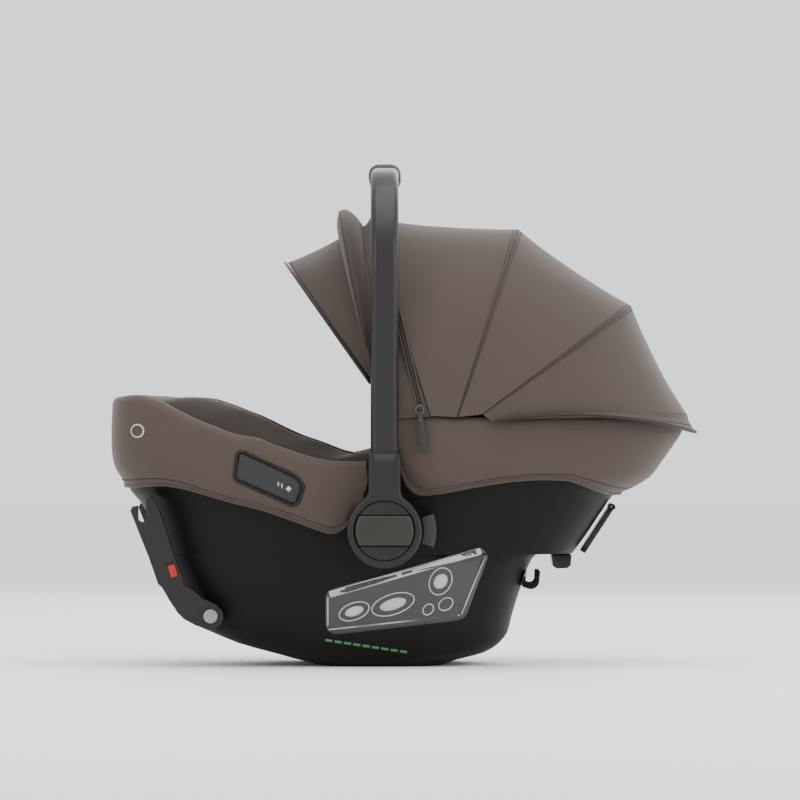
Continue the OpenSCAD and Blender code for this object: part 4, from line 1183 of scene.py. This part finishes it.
def makeLining(s):
    # the lining follows the seat from its floor, swells between sewn channels and rolls over the rim
    n = s["columns"]
    angles = [2 * math.pi * i / n for i in range(n)]
    angles = [a - 0.16 * math.sin(4 * a) for a in angles]
    rows = []
    tops = []
    for a in angles:
        z = 250.0
        for i in range(30):
            x = bowlPoint(z, a, s["pad"], s["lift"]).x
            z = mix(z, (rimLine(x) + 3.5 if x < 20 else 283.0), 0.5)
        tops.append(z)
    floor = 60 + s["lift"]
    for k in (0.02, 0.3, 0.6, 0.85):
        rows.append([Vector((mix(-55, p.x, k), p.y * k, floor - 0.4 * (1 - k))) for p in
                     (bowlPoint(floor, a, s["pad"], s["lift"]) for a in angles)])
    seams = (112.0, 160.0, 206.0, 244.0)
    for j in range(64):
        t = j / 63
        row = []
        for a, top in zip(angles, tops):
            z = mix(floor, top - 9, t)
            groove = sum(math.exp(-((z - q) / 2.0) ** 2) for q in seams)
            puff = sum(math.sin(math.pi * clamp((z - p) / (q - p), 0, 1)) ** 0.8 if p < z < q else 0
                       for p, q in zip((70.0,) + seams, seams + (top + 6,)))
            p0 = bowlPoint(z, a, s["pad"], s["lift"])
            swell = 1.6 * puff - s["channel"] * groove
            swell = swell + 0.8 * noise.noise(p0 * 0.013) + 0.3 * noise.noise(p0 * 0.045)
            row.append(bowlPoint(z, a, s["pad"] + swell, s["lift"]))
        rows.append(row)
    # a padded crest bridges from the seat wall to the inside of the rim covers
    last = rows[-1]
    for k in range(1, 15):
        t = k / 14
        row = []
        for a, top, p in zip(angles, tops, last):
            goal = bodyPoint(min(top - 6, 300), a, -9, -1)
            goal.z = max(top - 7, rimLine(goal.x) - 1)
            width = math.hypot(goal.x - p.x, goal.y - p.y)
            crest = min(8, 4.5 + 0.1 * width)
            q = p.lerp(goal, t ** 1.15)
            q.z = mix(p.z, goal.z, ramp(t, 0, 0.35)) + crest * math.sin(math.pi * min(1, t * 1.02)) ** 0.6
            stand = ramp(goal.x, -300, -270) * (1 - ramp(goal.x, -245, -165))
            q.z += 0.8 * noise.noise(q * 0.018) + 7 * stand * math.sin(math.pi * t) ** 0.8
            row.append(q)
        rows.append(row)
    rows.append([p - Vector((0, 0, 12)) for p in rows[-1]])
    o = gridPiece("seatLining", [[p * mm for p in row] for row in rows], "lining", "carrier",
                  around=True)
    return o


lining = makeLining(liningSet)
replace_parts(lining, "seat_pad")


def seamAlongLining(name, z, depth, a0=0.0, a1=2 * math.pi, count=260):
    pts = []
    for i in range(count + 1):
        a = a0 + (a1 - a0) * i / count
        p, q = bowlPoint(z, a, liningSet["pad"] + depth,
                         liningSet["lift"]), bowlPoint(z, a, liningSet["pad"] + 12, liningSet["lift"])
        d = (q - p).normalized()
        pts.append((p * mm, (d + Vector((0, 0, 0.7))).normalized()))
    stitches(name, pts, "thread", "carrier", 4.0, 2.8, 0.34, 0.25)


for i, z in enumerate((112.0, 160.0, 206.0, 244.0)):
    seamAlongLining("liningSeam%d" % i, z, -1.2)


def inflated(name, node, look, cap, voxel=0.005, pressure=4.0, frames=20):
    # padded fabric: a copy of the frame's solid, remeshed, blown up a little and held to its cap
    src = nodes[node]
    mesh = src.data.copy()
    mesh.name = name
    mesh.materials.clear()
    mesh.materials.append(mats[look])
    o = bpy.data.objects.new(name, mesh)
    bpy.context.scene.collection.objects.link(o)
    remesh = o.modifiers.new("remesh", "REMESH")
    remesh.mode, remesh.voxel_size = "VOXEL", voxel
    deps = bpy.context.evaluated_depsgraph_get()
    o.data = bpy.data.meshes.new_from_object(o.evaluated_get(deps))
    o.modifiers.clear()
    start = [v.co.copy() for v in o.data.vertices]
    cloth = o.modifiers.new("cloth", "CLOTH")
    cloth.settings.use_pressure, cloth.settings.uniform_pressure_force = True, pressure
    cloth.settings.effector_weights.gravity = 0
    cloth.settings.tension_stiffness = cloth.settings.compression_stiffness = 18
    cloth.settings.quality = 4
    cloth.collision_settings.use_collision = False
    for frameAt in range(1, frames + 1):
        bpy.context.scene.frame_set(frameAt)
    deps = bpy.context.evaluated_depsgraph_get()
    blown = bpy.data.meshes.new_from_object(o.evaluated_get(deps))
    o.modifiers.clear()
    bpy.context.scene.frame_set(1)
    for v, w, at in zip(o.data.vertices, blown.vertices, start):
        move = w.co - at
        v.co = at + (move if move.length < cap * mm else move.normalized() * cap * mm)
    bm = bmesh.new()
    bm.from_mesh(o.data)
    for i in range(3):
        bmesh.ops.smooth_vert(bm, verts=bm.verts, factor=0.5, use_axis_x=True, use_axis_y=True,
                              use_axis_z=True)
    bm.to_mesh(o.data)
    bm.free()
    sub = o.modifiers.new("smooth", "SUBSURF")
    sub.levels = sub.render_levels = 1
    o.data.polygons.foreach_set("use_smooth", [True] * len(o.data.polygons))
    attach(o, "carrier")
    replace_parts(o, node)
    return o


inflated("headCushion", "head_cushion", "insert", 5.0, 0.005)
inflated("newbornInsert", "infant_insert", "insert", 4.0, 0.005)
inflated("shoulderPads", "shoulder_pads", "insert", 2.5, 0.0035)
inflated("crotchPad", "crotch_pad", "insert", 2.0, 0.003)
for name, look in (("shoulder_straps", "webbing"), ("lap_straps", "webbing"), ("crotch_strap", "webbing")):
    dress(name, look, 0.3, 2)
for name, look in (("buckle_housing", "black"), ("buckle_button", "red"), ("buckle_tongues", "steel"),
                   ("adjuster_housing", "black"),
                   ("adjuster_button", "button"), ("splitter_plate", "steel"), ("foam_liner", "foam")):
    dress(name, look, 1.2 if name in ("buckle_housing", "adjuster_housing") else 0.5, 3,
          bevel=name != "foam_liner")
print("lining and harness ready")


for side in ("left", "right"):
    dress("latch_arm_" + side, "arm", 1.6, 4, 28)
    dress("latch_jaw_" + side, "steel", 0.4, 2)
    dress("latch_flag_" + side, "red", 0.3, 2)
for name, look in (("latch_axles", "steel"), ("belt_hooks", "shell"), ("rear_block", "black"),
                   ("release_lever", "arm")):
    dress(name, look, 0.6, 3)

guideSet = {"corners": ((-196, 213), (-191, 245), (-184, 247.5), (-122, 219), (-112.5, 207), (-120, 186.5),
                        (-127, 182.5)),
            "round": 8.0, "frameWide": 3.4, "frameHigh": 2.6, "flapHigh": 3.6,
            "marks": ((-132, 203.5, 3.4, 3.4), (-139.5, 207.0, 1.0, 3.4), (-143.5, 209.0, 1.0, 3.4))}


def roundCorners(points, radius, steps=7):
    # a smooth closed outline through a polygon's corners
    out, n = [], len(points)
    for i in range(n):
        p, a, b = Vector(points[i]), Vector(points[i - 1]), Vector(points[(i + 1) % n])
        u, v = (a - p), (b - p)
        r = min(radius, u.length * 0.45, v.length * 0.45)
        s0, s1 = p + u.normalized() * r, p + v.normalized() * r
        for k in range(steps + 1):
            t = k / steps
            out.append(s0.lerp(p, t).lerp(p.lerp(s1, t), t))
    return out


def scaledOutline(outline, grow):
    # moves an outline along its own normals
    n, out = len(outline), []
    area = sum(outline[i - 1].x * outline[i].y - outline[i].x * outline[i - 1].y for i in range(n))
    for i in range(n):
        d = outline[(i + 1) % n] - outline[i - 1]
        normal = Vector((d.y, -d.x)).normalized() * (1 if area > 0 else -1)
        out.append(outline[i] + normal * grow)
    return out


def makeGuide(side, s):
    tag = "Left" if side < 0 else "Right"
    outline = roundCorners(s["corners"], s["round"])
    proud = lambda p: coverY(p.x, p.y) + 1.0

    def ring(grow, height):
        return [Vector((p.x, side * (proud(p) + height), p.y)) * mm for p in scaledOutline(outline, grow)]

    frame = [ring(0, -2.0), ring(0.2, s["frameHigh"] - 1.0), ring(-0.5, s["frameHigh"]),
             ring(-s["frameWide"] + 0.8, s["frameHigh"]),
             ring(-s["frameWide"], s["frameHigh"] - 0.8), ring(-s["frameWide"], -2.0)]
    frameO = gridPiece("guideFrame" + tag, frame, "black", "carrier", around=True,
                       lengthwise=True)
    w = s["frameWide"] + 0.6
    centre = sum((p for p in outline), Vector((0, 0))) / len(outline)

    def inner(k, height):
        base = scaledOutline(outline, -w)
        return [Vector((mix(centre.x, p.x, k), side * (proud(p.lerp(centre, 1 - k)) + height),
                        mix(centre.y, p.y, k))) * mm for p in base]

    flap = [inner(0.99, -0.4), inner(1.0, s["flapHigh"] - 1.6), inner(0.985, s["flapHigh"] - 0.7),
            inner(0.95, s["flapHigh"] - 0.25)]
    flap += [inner(k, s["flapHigh"] + 0.5 * (1 - k)) for k in (0.88, 0.7, 0.45, 0.2, 0.02)]
    flapO = gridPiece("guideFlap" + tag, flap, "flap", "belt_flap_" + tag.lower(), around=True,
                      caps=True)
    sewn = [(p, Vector((0, side, 0))) for p in inner(0.93, s["flapHigh"] - 0.1)]
    stitches("guideStitch" + tag, sewn + sewn[:1], "darkThread", "belt_flap_" + tag.lower(), 2.6,
             1.8, 0.26, 0.2)
    # a plain mark: a small upright lozenge with two bars
    for cx, cz, w0, h0 in s["marks"]:
        shape = [(cx, cz + h0), (cx + w0, cz), (cx, cz - h0), (cx - w0, cz)]
        rows = [[Vector((x, side * (coverY(x, z) + 1.0 + s["flapHigh"] + dh), z)) * mm for x, z in shape]
                for dh in (-0.3, 0.42)]
        gridPiece("guideMark%s%d" % (tag, -int(cx)), rows, "print", "belt_flap_" + tag.lower(),
                  around=True, caps=True)
    return frameO, flapO


frames = []
for side, tag in ((-1, "left"), (1, "right")):
    frameO, flapO = makeGuide(side, guideSet)
    frames.append(frameO)
    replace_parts(flapO, "belt_flap_" + tag)
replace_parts(frames[0], "flap_frames")


emblemSet = {"x": -303.6, "z": 269.0, "radius": 7.1, "stroke": 0.95}


def makeEmblem(side, s):
    ring = [Vector((s["x"] + s["radius"] * math.cos(a), 0, s["z"] + s["radius"] * math.sin(a)))
            for a in (2 * math.pi * i / 60 for i in range(60))]
    pts = []
    for p in ring:
        pts.append(Vector((p.x, side * (coverY(p.x, p.z) + 1.6), p.z)) * mm)
    return tube("ringEmblem" + ("Left" if side < 0 else "Right"), pts, s["stroke"] * mm, "print", "carrier",
                8, closed=True, flat=0.7)


emblems = [makeEmblem(side, emblemSet) for side in (-1, 1)]
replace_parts(emblems[0], "ring_emblems")

labelSet = {"corners": ((-91, 50), (-91, 82.6), (-85, 89), (85, 137.6), (95, 127), (69, 57), (61, 53),
                        (-81.5, 37), (-89.5, 42)), "lift": 0.9,
            "slope": 0.286, "lowSlope": 0.108, "bandWide": 7.6, "lineWide": 1.4, "wordHigh": 2.6,
            "words": ((-74, 9), (-60, 16), (-40, 8), (-28, 18), (-4, 12), (22, 10), (36, 8), (48, 14),
                      (66, 9)),
            "pictures": ((-58, 64, 17, 10), (-14, 72, 24, 12), (40, 98, 13, 15), (46, 72, 8, 7),
                         (26, 66, 6, 6)),
            "filled": 3, "dashes": 9, "dashPitch": 10.6, "dashLong": 8.2, "dashWide": 3.0,
            "dashSlope": 0.152}


def shellSide(x, z, lift, side):
    # a point on the shell's side, seen from the side
    x0, x1 = footFace(z), headFace(z)
    u = (2 * x - x0 - x1) / (x1 - x0)
    e = footPower(z) if u < 0 else 3
    return Vector((x, side * (halfWidth(z) * max(0.0, 1 - abs(u) ** e) ** (1 / e) + lift), z)) * mm


def labelPatch(name, outline, lift, look, side, rings=6):
    # a thin film over the shell inside an outline
    centre = sum((Vector(p) for p in outline), Vector((0, 0))) / len(outline)
    rows = []
    for k in [0.02] + [i / rings for i in range(1, rings + 1)]:
        rows.append([shellSide(mix(centre.x, p[0], k), mix(centre.y, p[1], k), lift, side)
                     for p in outline])
    rows.append([shellSide(p[0], p[1], lift - 0.5, side) for p in outline])
    return gridPiece(name, rows, look, "carrier", around=True)


def barOutline(x0, z0, x1, z1, wide):
    d = Vector((x1 - x0, z1 - z0)).normalized()
    n = Vector((-d.y, d.x)) * wide / 2
    a, b = Vector((x0, z0)), Vector((x1, z1))
    pts = []
    for i in range(7):
        pts.append(tuple(a.lerp(b, i / 6) + n))
    for i in range(7):
        pts.append(tuple(b.lerp(a, i / 6) - n))
    return pts


def makeLabel(side, s):
    tag = "Left" if side < 0 else "Right"
    outline = []
    for p in roundCorners(s["corners"], 5.0, 4):
        outline.append((p.x, p.y))
    dense = []
    for i, p in enumerate(outline):
        q = outline[(i + 1) % len(outline)]
        steps = max(1, int(math.dist(p, q) / 6))
        dense += [(mix(p[0], q[0], k / steps), mix(p[1], q[1], k / steps)) for k in range(steps)]
    film = labelPatch("sideLabel" + tag, dense, s["lift"], "label", side, 10)
    bars = []
    top = lambda x, k: 89 + (x + 85) * s["slope"] - k
    low = lambda x, k: 40 + (x + 88) * s["lowSlope"] + k
    border = [((-86, top(-86, 5.6)), (86, top(86, 5.6)), s["bandWide"]),
              ((-87, low(-87, 3)), (62, low(62, 3)), s["lineWide"]),
              ((-88, 47), (-88, 80), s["lineWide"]), ((64, 60), (90, 124), s["lineWide"])]
    for i, ((x0, z0), (x1, z1), w) in enumerate(border):
        bars.append(("border%d" % i, x0, z0, x1, z1, w))
    for i, (x, length) in enumerate(s["words"]):
        bars.append(("line%d" % i, x, top(x, 5.8), x + length, top(x + length, 5.8), s["wordHigh"]))
    for name, x0, z0, x1, z1, w in bars:
        labelPatch("label%s%s" % (name, tag), barOutline(x0, z0, x1, z1, w),
                   s["lift"] + (0.8 if name.startswith("line") else 0.45),
                   "label" if name.startswith("line") else "print", side, 1)
    # generic pictures: rings, the first of them filled
    for i, (cx, cz, rx, rz) in enumerate(s["pictures"]):
        ring = [shellSide(cx + rx * math.cos(a), cz + rz * math.sin(a) + 0.25 * rx * math.cos(a),
                          s["lift"] + 0.6, side)
                for a in (2 * math.pi * k / 40 for k in range(40))]
        tube("labelRing%d%s" % (i, tag), ring, 0.7 * mm, "print", "carrier", 6, closed=True,
             flat=0.6)
        fill = [(cx + rx * 0.62 * math.cos(a),
                 cz + rz * 0.55 * math.sin(a) + 0.25 * rx * 0.62 * math.cos(a)) for a in
                (2 * math.pi * k / 24 for k in range(24))]
        if i < s["filled"]:
            labelPatch("labelShape%d%s" % (i, tag), fill, s["lift"] + 0.4, "print", side, 2)
    # dashed green line low on the shell
    for i in range(s["dashes"]):
        x0 = -91 + i * s["dashPitch"]
        z0 = 31 - (x0 + 91) * s["dashSlope"]
        z1 = 31 - (x0 + 98) * s["dashSlope"]
        labelPatch("dash%d%s" % (i, tag), barOutline(x0, z0, x0 + s["dashLong"], z1, s["dashWide"]), 0.7,
                   "green", side, 1)
    return film


films = [makeLabel(side, labelSet) for side in (-1, 1)]
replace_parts(films[0], "info_labels")
print("fittings ready")
